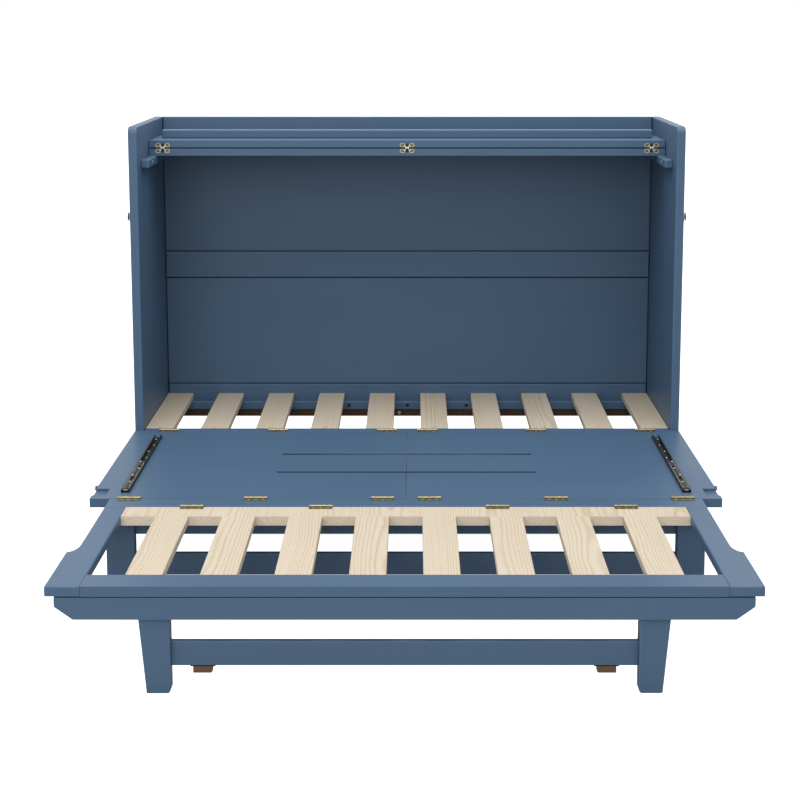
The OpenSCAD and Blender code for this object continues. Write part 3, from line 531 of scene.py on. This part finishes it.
def lay_grain(piece, staved=False):
    """Gives a piece its wood coordinates: across, along and through the board."""
    BOARD_COUNT[0] += 1
    verts = piece.data.vertices
    low, high = corners_of(verts)
    middle = [(low[i] + high[i]) / 2 for i in range(3)]
    through, across, along = sorted(range(3), key=lambda i: high[i] - low[i])
    # Each board is cut from its own stretch of one long trunk
    middle[along] -= TRUNK_PITCH * BOARD_COUNT[0]
    if staved:
        across, along, through = range(3)
        middle = [STAVE_START, 0, (low[2] + high[2]) / 2]
    values = [vert.co[axis] - middle[axis] for vert in verts for axis in (across, along, through)]
    grain = piece.data.attributes.new(GRAIN, "FLOAT_VECTOR", "POINT")
    grain.data.foreach_set("vector", values)
    cut_across = [float(abs(face.normal[along]) > END_FACE) for face in piece.data.polygons]
    end_grain = piece.data.attributes.new(END_GRAIN, "FLOAT", "FACE")
    end_grain.data.foreach_set("value", cut_across)


def board(name, bm, node, radius, finish):
    """One eased wooden piece that stands for a frame node, or for one solid of it."""
    sizes = bpy.context.scene.bed_boards
    # The apron has slim faces beside its notches, but no grooves
    recess = 0.0 if node == "foot_apron" else sizes.recess_width
    ease_edges(bm, radius, sizes.edge_steps, recess_width=recess)
    lay_grain(piece_from(name, bm, node, [finish]), node in STAVED)


def whole_board(node, radius, finish):
    """One eased wooden piece from all the solids of a node."""
    board(f"{node}_board", merged(solids_of(node)), node, radius, finish)


def merged(solids):
    """One mesh in the making from several."""
    whole = bmesh.new()
    for solid in solids:
        mesh = bpy.data.meshes.new("part")
        solid.to_mesh(mesh)
        solid.free()
        whole.from_mesh(mesh)
        bpy.data.meshes.remove(mesh)
    return whole


def lathe(profile, steps=24):
    """A turned shape round the Z axis, from its radii and heights."""
    bm = bmesh.new()
    rings = []
    for radius, height in profile:
        ring = []
        for i in range(steps if radius else 1):
            turn = 2 * math.pi * i / steps
            ring.append(bm.verts.new((radius * math.cos(turn), radius * math.sin(turn), height)))
        rings.append(ring)
    for lower, upper in zip(rings, rings[1:]):
        for i in range(steps):
            loop = [lower[i % len(lower)], lower[(i + 1) % len(lower)]]
            loop += [upper[(i + 1) % len(upper)], upper[i % len(upper)]]
            corners = [vert for k, vert in enumerate(loop) if vert not in loop[:k]]
            bm.faces.new(corners)
    bmesh.ops.recalc_face_normals(bm, faces=bm.faces)
    return bm


def band(bm, lower, upper):
    """The faces between two rings with as many corners."""
    loops = zip(lower, lower[1:] + lower[:1], upper[1:] + upper[:1], upper)
    return [bm.faces.new(loop) for loop in loops]


def arc(centre, radius, first, last, steps):
    """Points on a circle, from one angle to another, in degrees."""
    turns = [math.radians(first + (last - first) * step / steps) for step in range(steps + 1)]
    return [(centre[0] + radius * math.cos(turn), centre[1] + radius * math.sin(turn)) for turn in turns]


def stacked(outlines):
    """A solid with a band of faces from each outline to the next, closed at both ends."""
    bm = bmesh.new()
    rings = [[bm.verts.new(place) for place in outline] for outline in outlines]
    for lower, upper in zip(rings, rings[1:]):
        band(bm, lower, upper)
    bm.faces.new(rings[0])
    bm.faces.new(rings[-1])
    bmesh.ops.recalc_face_normals(bm, faces=bm.faces)
    return bm


# A screw's cross: length and half width of its arms, as shares of the head's radius, and its floor's size
CROSS_ARM = 0.46
CROSS_HALF = 0.11
CROSS_FLOOR = 0.8


def cross_recess(bm, radius, height, depth):
    """Closes the open top of a turned head with a flat face that has a cross sunk in it."""
    rim = [edge for edge in bm.edges if edge.is_boundary and edge.verts[0].co.z > height - 1e-6]
    arm, half = CROSS_ARM * radius, CROSS_HALF * radius
    corners = []
    for turn in range(4):
        spin = Matrix.Rotation(turn * math.pi / 2, 3, "Z")
        for x, y in ((half, half), (arm, half), (arm, -half)):
            corners.append(spin @ Vector((x, y, height)))
    # Round the cross, in order of angle
    corners.sort(key=lambda place: math.atan2(place.y, place.x))
    cross = [bm.verts.new(place) for place in corners]
    ring = [bm.edges.new(pair) for pair in zip(cross, cross[1:] + cross[:1])]
    bmesh.ops.triangle_fill(bm, edges=rim + ring, use_beauty=True)
    floor = [bm.verts.new((v.co.x * CROSS_FLOOR, v.co.y * CROSS_FLOOR, height - depth)) for v in cross]
    recess = band(bm, cross, floor)
    recess.append(bm.faces.new(floor))
    bmesh.ops.recalc_face_normals(bm, faces=bm.faces)
    # The cross recess takes the second finish, which is painted shade
    for face in recess:
        face.material_index = 1
    return bm


def cross_screw(radius, height):
    """A low screw head with a cross recess, on the plane Z = 0."""
    profile = [(0, -0.5 * height), (0.72 * radius, -0.4 * height), (radius, 0)]
    profile += [(0.92 * radius, 0.55 * height), (0.66 * radius, height)]
    return cross_recess(lathe(profile), radius, height, 0.9 * height)


def long_screw(radius, head, shank, length):
    """A whole screw below the plane Z = 0: its head with a cross recess, and its shank with a point."""
    profile = [(0, -length), (0.6 * shank, -length + shank), (shank, -length + 2.5 * shank), (shank, -head)]
    profile += [(0.86 * radius, -head), (radius, -0.75 * head), (radius, -0.25 * head)]
    profile += [(0.93 * radius, -0.08 * head), (0.7 * radius, 0)]
    return cross_recess(lathe(profile), radius, 0.0, 0.4 * head)


def screw_like(solid, lift=0.0):
    """A detailed screw in the place of a plain one: a wide head at one end of a thin shank."""
    low, high = corners_of(solid.verts)
    middle = (low + high) / 2
    axis = max(range(3), key=lambda i: high[i] - low[i])
    side = (axis + 1) % 3
    radius = (high[side] - low[side]) / 2
    places = [(vert.co[axis], abs(vert.co[side] - middle[side])) for vert in solid.verts]
    head = [along for along, out in places if out > 0.9 * radius]
    shank = max(out for along, out in places if out < 0.6 * radius)
    solid.free()
    outward = 1 if sum(head) / len(head) > middle[axis] else -1
    top = middle.copy()
    top[axis] = (high if outward > 0 else low)[axis] + outward * lift
    up = Vector((0, 0, 0))
    up[axis] = outward
    made = long_screw(radius, max(head) - min(head), shank, high[axis] - low[axis])
    # The cross of each screw is turned by where it stands
    return placed(made, top, up, 0.7 * top.x / radius)


def placed(bm, where, up=(0, 0, 1), turn=0.0):
    """Moves a shape that stands on Z = 0 to a place, with Z turned to a direction."""
    aim = Vector(up).to_track_quat("Z", "Y").to_matrix().to_4x4()
    matrix = Matrix.Translation(where) @ aim @ Matrix.Rotation(turn, 4, "Z")
    bmesh.ops.transform(bm, matrix=matrix, verts=bm.verts)
    return bm


# Hinges


def nearest_joint(solid, joints):
    """The joint whose axis, along X, lies closest to a hinge leaf."""
    low, high = corners_of(solid.verts)
    middle = (low + high) / 2
    return min(joints, key=lambda name: math.hypot(middle.y - AXIS_OF[name][1], middle.z - AXIS_OF[name][2]))


def leaf_axes(low, high, joint):
    """The axis point, the way along the plate and the way up from it, for one hinge leaf."""
    middle = (low + high) / 2
    axis = Vector(AXIS_OF[joint])
    apart = middle - axis
    y, z = math.copysign(1, apart.y), math.copysign(1, apart.z)
    flat = abs(apart.y) > abs(apart.z)
    along, up = ((0, y, 0), (0, 0, -z)) if flat else ((0, 0, z), (0, -y, 0))
    return Vector((middle.x, axis.y, axis.z)), Vector(along), Vector(up)


def bright(bm):
    """Gives the plain faces of a shape the bright finish of its piece, which on the butt hinges' knuckles is a
    painted highlight.
    """
    for face in bm.faces:
        if face.material_index == 0:
            face.material_index = 2
    return bm


def stood_at(bm, origin, along, up):
    """Moves a hinge that is drawn along X to its place, with its Y and Z turned to two directions."""
    turn = Matrix(((1, 0, 0), along, up)).transposed().to_4x4()
    bmesh.ops.transform(bm, matrix=Matrix.Translation(origin) @ turn, verts=bm.verts)
    if turn.determinant() < 0:
        bmesh.ops.reverse_faces(bm, faces=bm.faces)
    return bm


# A butt hinge: its plate's share of the depth, the air beside plate and knuckles, and the knuckles' number
PLATE_SHARE = 1.6 / 3
PLATE_AIR = 0.0001
KNUCKLE_AIR = 0.00015
KNUCKLES = 5
# How far a knuckle laps on its plate, and the steps of its roll and of a plate's corner
KNUCKLE_LAP = 0.0012
ROLL_STEPS = 16
CORNER_STEPS = 6
# Radii and heights of a pin's end
PIN_END = [(0, 0.0004), (0.0009, 0.00035), (0.0014, 0), (0.0014, -0.0006)]
# Where a leaf's screws stand, as shares of half its length and of its plate, and the height of their heads
LEAF_SCREWS = ((-0.62, 0.46), (0, 0.62), (0.62, 0.46))
LEAF_SCREW_HEIGHT = 0.0007


def hinge_plate(half, start, reach, bottom, top):
    """The flat plate of a hinge leaf, with two round corners away from its barrel."""
    boards = bpy.context.scene.bed_boards
    corner = boards.hinge_corner
    outline = [(-half, start), (half, start)]
    outline += arc((half - corner, reach - corner), corner, 0, 90, CORNER_STEPS)
    outline += arc((corner - half, reach - corner), corner, 90, 180, CORNER_STEPS)
    plate = stacked([[(x, y, z) for x, y in outline] for z in (bottom, top)])
    ease_edges(plate, boards.metal_round, 2, 0.0005)
    return plate


def hinge_leaf(solid, joint):
    """A butt hinge's leaf: a plate with round corners, rolled knuckles made bright as a painted highlight, and
    three screws.
    """
    boards = bpy.context.scene.bed_boards
    low, high = corners_of(solid.verts)
    axis, along, up = leaf_axes(low, high, joint)
    # Drawn with Y away from the hinge's axis and Z up from the plate
    places = [vert.co - axis for vert in solid.verts]
    reach = max(place.dot(along) for place in places)
    rise = -min(place.dot(up) for place in places)
    barrel = max(place.dot(up) for place in places)
    half = (high.x - low.x) / 2
    near = [p for p in places if abs(p.dot(along)) < 0.5 * barrel and p.dot(up) > 0.9 * barrel]
    outer = min(place.x for place in near) < -0.9 * half
    start = rise + PLATE_AIR
    top = -rise + PLATE_SHARE * rise
    solid.free()
    parts = [hinge_plate(half, start, reach, -rise, top)]

    # Its metal is rolled round the pin
    roll = [(start + KNUCKLE_LAP, -rise), (start + KNUCKLE_LAP, top)]
    roll += arc((0, 0), barrel, math.degrees(math.asin(top / barrel)), 270, ROLL_STEPS)
    roll.append((0, -rise))
    knuckle = 2 * half / KNUCKLES
    for i in range(0 if outer else 1, KNUCKLES, 2):
        left = -half + i * knuckle + (KNUCKLE_AIR if i else 0)
        right = -half + (i + 1) * knuckle - (KNUCKLE_AIR if i < KNUCKLES - 1 else 0)
        parts.append(bright(stacked([[(x, y, z) for y, z in roll] for x in (left, right)])))
    if outer:
        for side in (-1, 1):
            parts.append(bright(placed(lathe(PIN_END, 16), (side * half, 0, 0), (side, 0, 0))))

    for i, (across, out) in enumerate(LEAF_SCREWS):
        screw = bright(cross_screw(boards.hinge_screw, LEAF_SCREW_HEIGHT))
        where = (across * half, start + (reach - start) * out, top)
        parts.append(placed(screw, where, (0, 0, 1), 0.4 + 0.9 * i))
    return stood_at(merged(parts), axis, along, up)


# Radii of the edges of the panel's thin tongue and of the raw wood
TONGUE_ROUND = 0.0005
RAW_ROUND = 0.0012


class BedPaintedBoards(Operator):
    """Eases the edges of every painted board and gives it its paint"""

    bl_idname = "wall_bed.painted_boards"
    bl_label = "Painted boards"

    def execute(self, context):
        for node in PAINTED_BOARDS:
            whole_board(node, context.scene.bed_boards.board_round, "painted_wood")
        return {"FINISHED"}


class BedPineBoards(Operator):
    """Makes the pine slats, beam and ledger, each with its own figure"""

    bl_idname = "wall_bed.pine_boards"
    bl_label = "Pine boards"

    def execute(self, context):
        radius = context.scene.bed_boards.slat_round
        for node in PINE_BOARDS:
            whole_board(node, radius, "pine")
        slats = sorted(solids_of("cabinet_slats"), key=lambda solid: corners_of(solid.verts)[0].x)
        for i, solid in enumerate(slats):
            board(f"cabinet_slat_{i + 1}_board", solid, "cabinet_slats", radius, "pine")
        whole_board("panel_tongue", TONGUE_ROUND, "pine")
        return {"FINISHED"}


class BedRawBoards(Operator):
    """Makes the raw brown blocks and rail"""

    bl_idname = "wall_bed.raw_boards"
    bl_label = "Raw brown wood"

    def execute(self, context):
        for node, finish in RAW_BOARDS.items():
            whole_board(node, RAW_ROUND, finish)
        return {"FINISHED"}


class BedHinges(Operator):
    """Makes the butt hinges of the deck and of the leg frames"""

    bl_idname = "wall_bed.hinges"
    bl_label = "Butt hinges"

    def execute(self, context):
        for node, joints in HINGE_ROWS.items():
            brass, painted = [], []
            for solid in solids_of(node):
                joint = nearest_joint(solid, joints)
                leaf = hinge_leaf(solid, joint)
                (painted if joint in PAINTED_HINGES else brass).append(leaf)
            if brass:
                finishes = ["aged_brass", "brass_recess", "brass"]
                piece_from(f"{node}_plates", merged(brass), node, finishes)
            if painted:
                name = f"{node}_painted_plates"
                lay_grain(piece_from(name, merged(painted), node, ["painted_wood"] * 3))
        return {"FINISHED"}


def raised_shape(outline, low, high, rim, centre=(0, 0), sink=0.0, wall=0.0):
    """A plate between two heights, from its outline, with a chamfered rim and perhaps a sunk middle."""
    cx, cy = centre
    reach = max(math.hypot(x - cx, y - cy) for x, y in outline)
    levels = [(1, low), (1, high - rim), (1 - rim / reach, high)]
    if sink:
        levels += [(1 - wall / reach, high), (1 - (wall + sink) / reach, high - sink)]
    rings = []
    for share, z in levels:
        rings.append([(cx + (x - cx) * share, cy + (y - cy) * share, z) for x, y in outline])
    return stacked(rings)


def oval(half_length, radius, centre=(0, 0), steps=10):
    """The outline of an oval with straight long sides, along X."""
    x, y = centre
    right = arc((x + half_length, y), radius, -90, 90, steps)
    return right + arc((x - half_length, y), radius, 90, 270, steps)


def rectangle(left, right, low, high):
    """The outline of a rectangle."""
    return [(left, low), (right, low), (right, high), (left, high)]


# A lid hinge's lobes: radius, half the straight stretch, place, width of the rim, sunk floor and bevel
LOBE_RADIUS = 0.0062
LOBE_HALF = 0.0026
LOBE_X = 0.014
LOBE_Y = 0.009
LOBE_RIM = 0.0021
LOBE_SINK = 0.0007
LOBE_BEVEL = 0.0005
# Its knuckles: radius, bevel, height, the ends of the middle one and the outer ones, and the air beside them
BARREL_RADIUS = 0.0025
BARREL_BEVEL = 0.0004
BARREL_Z = -0.0003
MIDDLE_END = 0.002
OUTER_END = 0.006
BARREL_AIR = 0.0001
# Its arms: depth, top, bevel, foot, middle, and the two corners at the lobe (inward from it, and along Y)
ARM_DEPTH = 0.0022
ARM_TOP = -0.0001
ARM_BEVEL = 0.0004
ARM_FOOT = 0.0019
ARM_MIDDLE = 0.0045
ARM_HEAD = ((0.0022, 0.0063), (0.0062, 0.0097))
# The tabs from its arms to the knuckles: stretch and middle along Y, top, bevel and how far they stop short
TAB_SPAN = (-0.0004, 0.0023)
TAB_MIDDLE = 0.001
TAB_TOP = -0.0003
TAB_BEVEL = 0.0003
TAB_SHORT = 0.0006
# Its screws' radius and height, their place in depth, and from how far out the plain solid is all lobe
LOBE_SCREW = (0.0032, 0.0005)
LOBE_SCREW_Z = -0.0006
ALL_LOBE = 0.006


def lid_hinge_half(solid, axis_z):
    """One half of a lid hinge: two oval lobes with a screw each, two crossing arms and its knuckles."""
    low, high = corners_of(solid.verts)
    middle = (low.x + high.x) / 2
    up = 1 if (low.z + high.z) / 2 > axis_z else -1
    face = min(vert.co.y for vert in solid.verts if abs(vert.co.z - axis_z) > ALL_LOBE)
    depth = high.y - face
    solid.free()
    # Drawn with Z towards the viewer, which is -Y of the room, and Y away from the hinge's axis
    if up > 0:
        near, far = 0.0, MIDDLE_END - BARREL_AIR
        spans = [(-MIDDLE_END, MIDDLE_END)]
    else:
        near, far = MIDDLE_END + BARREL_AIR, OUTER_END - TAB_SHORT
        spans = [(-OUTER_END, -MIDDLE_END - 2 * BARREL_AIR), (MIDDLE_END + 2 * BARREL_AIR, OUTER_END)]
    parts = []
    for side in (-1, 1):
        centre = (side * LOBE_X, LOBE_Y)
        outline = oval(LOBE_HALF, LOBE_RADIUS, centre)
        lobe = raised_shape(outline, -depth, 0.0, LOBE_BEVEL, centre, LOBE_SINK, LOBE_RIM)
        # The rim and the sides are bright, the sunk floor with its screw isn't
        for facet in lobe.faces:
            facet.material_index = 2 if len(facet.verts) == 4 else 0
        parts.append(lobe)
        screw = cross_screw(*LOBE_SCREW)
        parts.append(placed(screw, (*centre, LOBE_SCREW_Z), (0, 0, 1), 0.5 * side + 0.3 * up))
        arm = [(near, ARM_FOOT), (far, ARM_FOOT)] + [(LOBE_X - inward, y) for inward, y in ARM_HEAD]
        arm = [(side * x, y) for x, y in arm]
        parts.append(bright(raised_shape(arm, -ARM_DEPTH, ARM_TOP, ARM_BEVEL, (side * far, ARM_MIDDLE))))
        tab = rectangle(side * near, side * far, *TAB_SPAN)
        tab_centre = (side * (near + far) / 2, TAB_MIDDLE)
        parts.append(raised_shape(tab, -ARM_DEPTH, TAB_TOP, TAB_BEVEL, tab_centre))
    for left, right in spans:
        length = right - left
        rim = BARREL_RADIUS - BARREL_BEVEL
        profile = [(0, 0), (rim, 0), (BARREL_RADIUS, BARREL_BEVEL)]
        profile += [(BARREL_RADIUS, length - BARREL_BEVEL), (rim, length), (0, length)]
        parts.append(bright(placed(lathe(profile), (left, 0, BARREL_Z), (1, 0, 0))))
    return stood_at(merged(parts), (middle, face, axis_z), (0, 0, up), (0, -1, 0))


class BedLidHinges(Operator):
    """Makes the four-lobed hinges between the leaves of the lid"""

    bl_idname = "wall_bed.lid_hinges"
    bl_label = "Lid hinges"

    def execute(self, context):
        axis_z = AXIS_OF["lid_fold"][2]
        for node in ("lid_hinge_fixed_halves", "lid_hinge_moving_halves"):
            halves = merged([lid_hinge_half(solid, axis_z) for solid in solids_of(node)])
            piece_from(f"{node}_lobes", halves, node, ["aged_brass", "brass_recess", "zinc"])
        return {"FINISHED"}


def long_oval(x, low, high, half_width):
    """The outline of an oval along Y, between two places, round a given X."""
    outline = oval((high - low) / 2 - half_width, half_width, ((low + high) / 2, 0), 6)
    return [(x + across, along) for along, across in outline]


# A rivet's radii and heights
RIVET = [(0, -0.0004), (0.0031, -0.0003), (0.0033, 0.0003), (0.0026, 0.0012), (0.0013, 0.0016), (0, 0.0016)]
# Where a slide's first rivet stands, how far the last one stays from the end, and the two rows
FIRST_RIVET = 0.026
LAST_RIVET = 0.02
RIVET_ROWS = (0.004, -0.0012)
# How far a runner is raised to pass over the rivets, and the thickness of a channel's floor
RIVET_ROOM = 0.0014
CHANNEL_FLOOR = 0.0014
# How far a runner's web lies in from its sides, and the heights of its flat bar and of the web's foot
WEB_INSET = 0.0034
BAR_HEIGHT = 0.0035
WEB_FOOT = 0.003
# Where the web ends, and its stretches before, between and beyond two slots, as shares of the runner
WEB_END = 0.004
WEB_STRETCHES = ((0, 0.3), (0.42, 0.72), (0.8, 1))
# Half the width of a cage or a rail, how far a cage lies out from the web, and where it ends
STRIP_HALF = 0.0006
CAGE_OUT = 0.0009
CAGE_END = 0.012
# How far below the runner's top a cage's top and foot, its balls' centres and a rail's top lie
CAGE_TOP = 0.0009
CAGE_FOOT = 0.003
BALL_CENTRE = 0.0011
RAIL_TOP = 0.0002
# The stop on a runner's end: its oval, height, sunk middle, wall, and how far it is let in and raised
STOP_OVAL = (0.0042, 0.0018)
STOP_HEIGHT = 0.0012
STOP_SINK = 0.0004
STOP_WALL = 0.0006
STOP_LET_IN = 0.0002
STOP_RAISED = 0.001
# Chamfers of a runner and of its strips
SOFT_RIM = 0.0003
STRIP_RIM = 0.0002


def slide_parts(side, name):
    """The channel's rivets, and the runner's rivets, ball cages, balls and stop."""
    boards = bpy.context.scene.bed_boards
    low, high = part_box(f"slide_channel_{name}")
    run_low, run_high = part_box(f"slide_runner_{name}")
    middle = (low.x + high.x) / 2
    fixed, riding = [], []
    # The rivets stand in two rows by turns, both in sight from the bed's middle
    count = 0
    y = high.y - FIRST_RIVET
    while y > low.y + LAST_RIVET:
        on_runner = run_low.y < y < run_high.y
        base = run_high.z if on_runner else low.z + CHANNEL_FLOOR
        rivet = placed(lathe(RIVET, 16), (middle + side * RIVET_ROWS[count % 2], y, base))
        (riding if on_runner else fixed).append(rivet)
        count += 1
        y -= boards.rivet_pitch

    # A pale cage along each side of the web, with its balls standing up from it
    web = (run_high.x - run_low.x) / 2 - WEB_INSET
    start, end = run_low.y + CAGE_END, run_high.y - CAGE_END
    for edge in (-1, 1):
        x = middle + edge * (web + CAGE_OUT)
        strip = rectangle(x - STRIP_HALF, x + STRIP_HALF, start, end)
        foot, top = run_high.z - CAGE_FOOT, run_high.z - CAGE_TOP
        riding.append(raised_shape(strip, foot, top, STRIP_RIM, (x, (start + end) / 2)))
        for i in range(int((end - start) / boards.ball_pitch)):
            along = start + (i + 0.5) * boards.ball_pitch
            at = Matrix.Translation((x, along, run_high.z - BALL_CENTRE))
            ball = bmesh.new()
            bmesh.ops.create_uvsphere(ball, u_segments=10, v_segments=6, radius=boards.ball, matrix=at)
            riding.append(ball)
    # A bright stop on the runner's end
    stop = raised_shape(oval(*STOP_OVAL), 0.0, STOP_HEIGHT, SOFT_RIM, (0, 0), STOP_SINK, STOP_WALL)
    where = (middle, run_low.y + STOP_LET_IN, (run_low.z + run_high.z) / 2 + STOP_RAISED)
    riding.append(placed(stop, where, (0, -1, 0)))
    return fixed, riding


def runner_web(name):
    """The runner: a flat bar under the channel's lips, with a raised web that has long slots sunk in it."""
    low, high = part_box(f"slide_runner_{name}")
    middle = (low.x + high.x) / 2
    half = (high.x - low.x) / 2
    web = half - WEB_INSET
    centre = (middle, (low.y + high.y) / 2)
    outline = long_oval(middle, low.y, high.y, half)
    parts = [raised_shape(outline, low.z + RIVET_ROOM, low.z + BAR_HEIGHT, SOFT_RIM, centre)]
    # The web between two slots and beyond them, around a floor that lies lower
    length = high.y - low.y
    start, end = low.y + WEB_END, high.y - WEB_END
    for first, last in WEB_STRETCHES:
        near, far = max(low.y + first * length, start), min(low.y + last * length, end)
        outline = long_oval(middle, near, far, web)
        parts.append(raised_shape(outline, low.z + WEB_FOOT, high.z, SOFT_RIM, (middle, (near + far) / 2)))
    for edge in (-1, 1):
        x = middle + edge * (web - STRIP_HALF)
        rail = rectangle(x - STRIP_HALF, x + STRIP_HALF, start + web, end - web)
        parts.append(raised_shape(rail, low.z + WEB_FOOT, high.z - RAIL_TOP, STRIP_RIM, (x, centre[1])))
    return merged(parts)


class BedSlides(Operator):
    """Makes the two slides: channels, runners, rivets and balls"""

    bl_idname = "wall_bed.slides"
    bl_label = "Slides"

    def execute(self, context):
        for side, name in ((-1, "left"), (1, "right")):
            channel, runner = f"slide_channel_{name}", f"slide_runner_{name}"
            bm = merged(solids_of(channel))
            ease_edges(bm, context.scene.bed_boards.metal_round, 2)
            piece_from(f"{channel}_steel", bm, channel, ["black_steel"])
            piece_from(f"{runner}_steel", runner_web(name), runner, ["black_steel"])
            fixed, riding = slide_parts(side, name)
            piece_from(f"{channel}_rivets", merged(fixed), channel, ["zinc"], False)
            piece_from(f"{runner}_balls", merged(riding), runner, ["zinc"], False)
        return {"FINISHED"}


# How far the cleats' screws stand proud of the plain ones
CLEAT_SCREW_LIFT = 0.0012

SCREW_NODES = {
    "slat_and_ledger_screws": "black_steel",
    "cleat_screws": "zinc",
    "hook_screws": "grey_steel",
    "rear_rail_bolt": "zinc",
}


class BedScrews(Operator):
    """Makes the screws of the slats, ledgers, cleats and hooks, and the rear rail's bolt"""

    bl_idname = "wall_bed.screws"
    bl_label = "Screws"

    def execute(self, context):
        for node, finish in SCREW_NODES.items():
            lift = CLEAT_SCREW_LIFT if node == "cleat_screws" else 0.0
            screws = merged([screw_like(solid, lift) for solid in solids_of(node)])
            piece_from(f"{node}_heads", screws, node, [finish, "brass_recess"])
        return {"FINISHED"}


# A keeper: thickness of its plate, and its screws' distance from its middle, radius and height
KEEPER_PLATE = 0.002
KEEPER_REACH = 0.0105
KEEPER_SCREW = (0.0026, 0.0006)


class BedLatches(Operator):
    """Makes the keepers on the side panels, with their screws, the hooks and the block plates"""

    bl_idname = "wall_bed.latches"
    bl_label = "Latches"

    def execute(self, context):
        for node in ("hook_left", "hook_right", "latch_keepers", "block_plates"):
            finish = "black_steel" if node == "block_plates" else "grey_steel"
            parts = []
            for solid in solids_of(node):
                low, high = corners_of(solid.verts)
                ease_edges(solid, context.scene.bed_boards.metal_round, 2, 0.0004)
                parts.append(solid)
                if node != "latch_keepers":
                    continue
                side = 1 if low.x > 0 else -1
                for away in (-1, 1):
                    z = (low.z + high.z) / 2 + away * KEEPER_REACH
                    where = (side * (CAD_SIDE + KEEPER_PLATE), (low.y + high.y) / 2, z)
                    parts.append(placed(cross_screw(*KEEPER_SCREW), where, (side, 0, 0), 0.6 * away))
            piece_from(f"{node}_steel", merged(parts), node, [finish, "brass_recess"])
        return {"FINISHED"}


# Half the width of the floor, and the lights' size and what they point at
FLOOR_REACH = 60
LIGHT_SIZE = 3.0
LIGHT_AIM = Vector((0, 0, 0.4))


class BedStage(Operator):
    """Makes the floor, the lights and the camera"""

    bl_idname = "wall_bed.stage"
    bl_label = "Studio"

    def execute(self, context):
        scene = context.scene
        studio = scene.bed_studio
        bm = bmesh.new()
        bmesh.ops.create_grid(bm, x_segments=1, y_segments=1, size=FLOOR_REACH)
        mesh = bpy.data.meshes.new("studio_floor")
        bm.to_mesh(mesh)
        bm.free()
        mesh.materials.append(floor_paper("studio_paper", studio.floor_glow))
        in_scene("studio_floor", mesh)

        world = bpy.data.worlds.new("studio_sky")
        scene.world = world
        world.use_nodes = True
        sky = world.node_tree.nodes["Background"]
        sky.inputs["Color"].default_value = (1, 1, 1, 1)
        sky.inputs["Strength"].default_value = studio.sky

        for name, power, place in (
            ("top_light", studio.top_light, (0, -0.15, 3.6)),
            ("front_light", studio.front_light, (-1.2, -4.6, 2.6)),
        ):
            lamp = bpy.data.lights.new(name, "AREA")
            lamp.shape = "SQUARE"
            lamp.size = LIGHT_SIZE
            lamp.energy = power
            light = in_scene(name, lamp)
            light.location = place
            light.rotation_euler = (LIGHT_AIM - Vector(place)).to_track_quat("-Z", "Y").to_euler()

        lens = bpy.data.cameras.new("camera")
        lens.lens = studio.lens
        lens.shift_x = studio.shift_x
        lens.shift_y = studio.shift_y
        camera = in_scene("camera", lens)
        camera.location = (studio.camera_side, -studio.camera_back, studio.camera_height)
        camera.rotation_euler = (math.pi / 2 - studio.camera_down, 0, 0)
        scene.camera = camera
        scene.view_settings.view_transform = "Standard"
        return {"FINISHED"}


STEPS = (
    BedPaintedBoards,
    BedPineBoards,
    BedRawBoards,
    BedHinges,
    BedLidHinges,
    BedSlides,
    BedScrews,
    BedLatches,
    BedStage,
)


class BedPanel(Panel):
    """Lists the sizes, the colours and the steps"""

    bl_idname = "VIEW3D_PT_wall_bed"
    bl_label = "Wall bed"
    bl_space_type = "VIEW_3D"
    bl_region_type = "UI"
    bl_category = "Wall bed"

    def draw(self, context):
        for group in (context.scene.bed_boards, context.scene.bed_colours, context.scene.bed_studio):
            box = self.layout.box()
            for name in group.__annotations__:
                box.prop(group, name)
        for step in STEPS:
            self.layout.operator(step.bl_idname)


CLASSES = (BedBoards, BedColours, BedStudio, *STEPS, BedPanel)


def register():
    for item in CLASSES:
        bpy.utils.register_class(item)
    bpy.types.Scene.bed_boards = PointerProperty(type=BedBoards)
    bpy.types.Scene.bed_colours = PointerProperty(type=BedColours)
    bpy.types.Scene.bed_studio = PointerProperty(type=BedStudio)


def unregister():
    del bpy.types.Scene.bed_studio
    del bpy.types.Scene.bed_colours
    del bpy.types.Scene.bed_boards
    for item in reversed(CLASSES):
        bpy.utils.unregister_class(item)


def main():
    register()
    for step in STEPS:
        group, name = step.bl_idname.split(".")
        getattr(getattr(bpy.ops, group), name)()


if __name__ == "__main__":
    main()
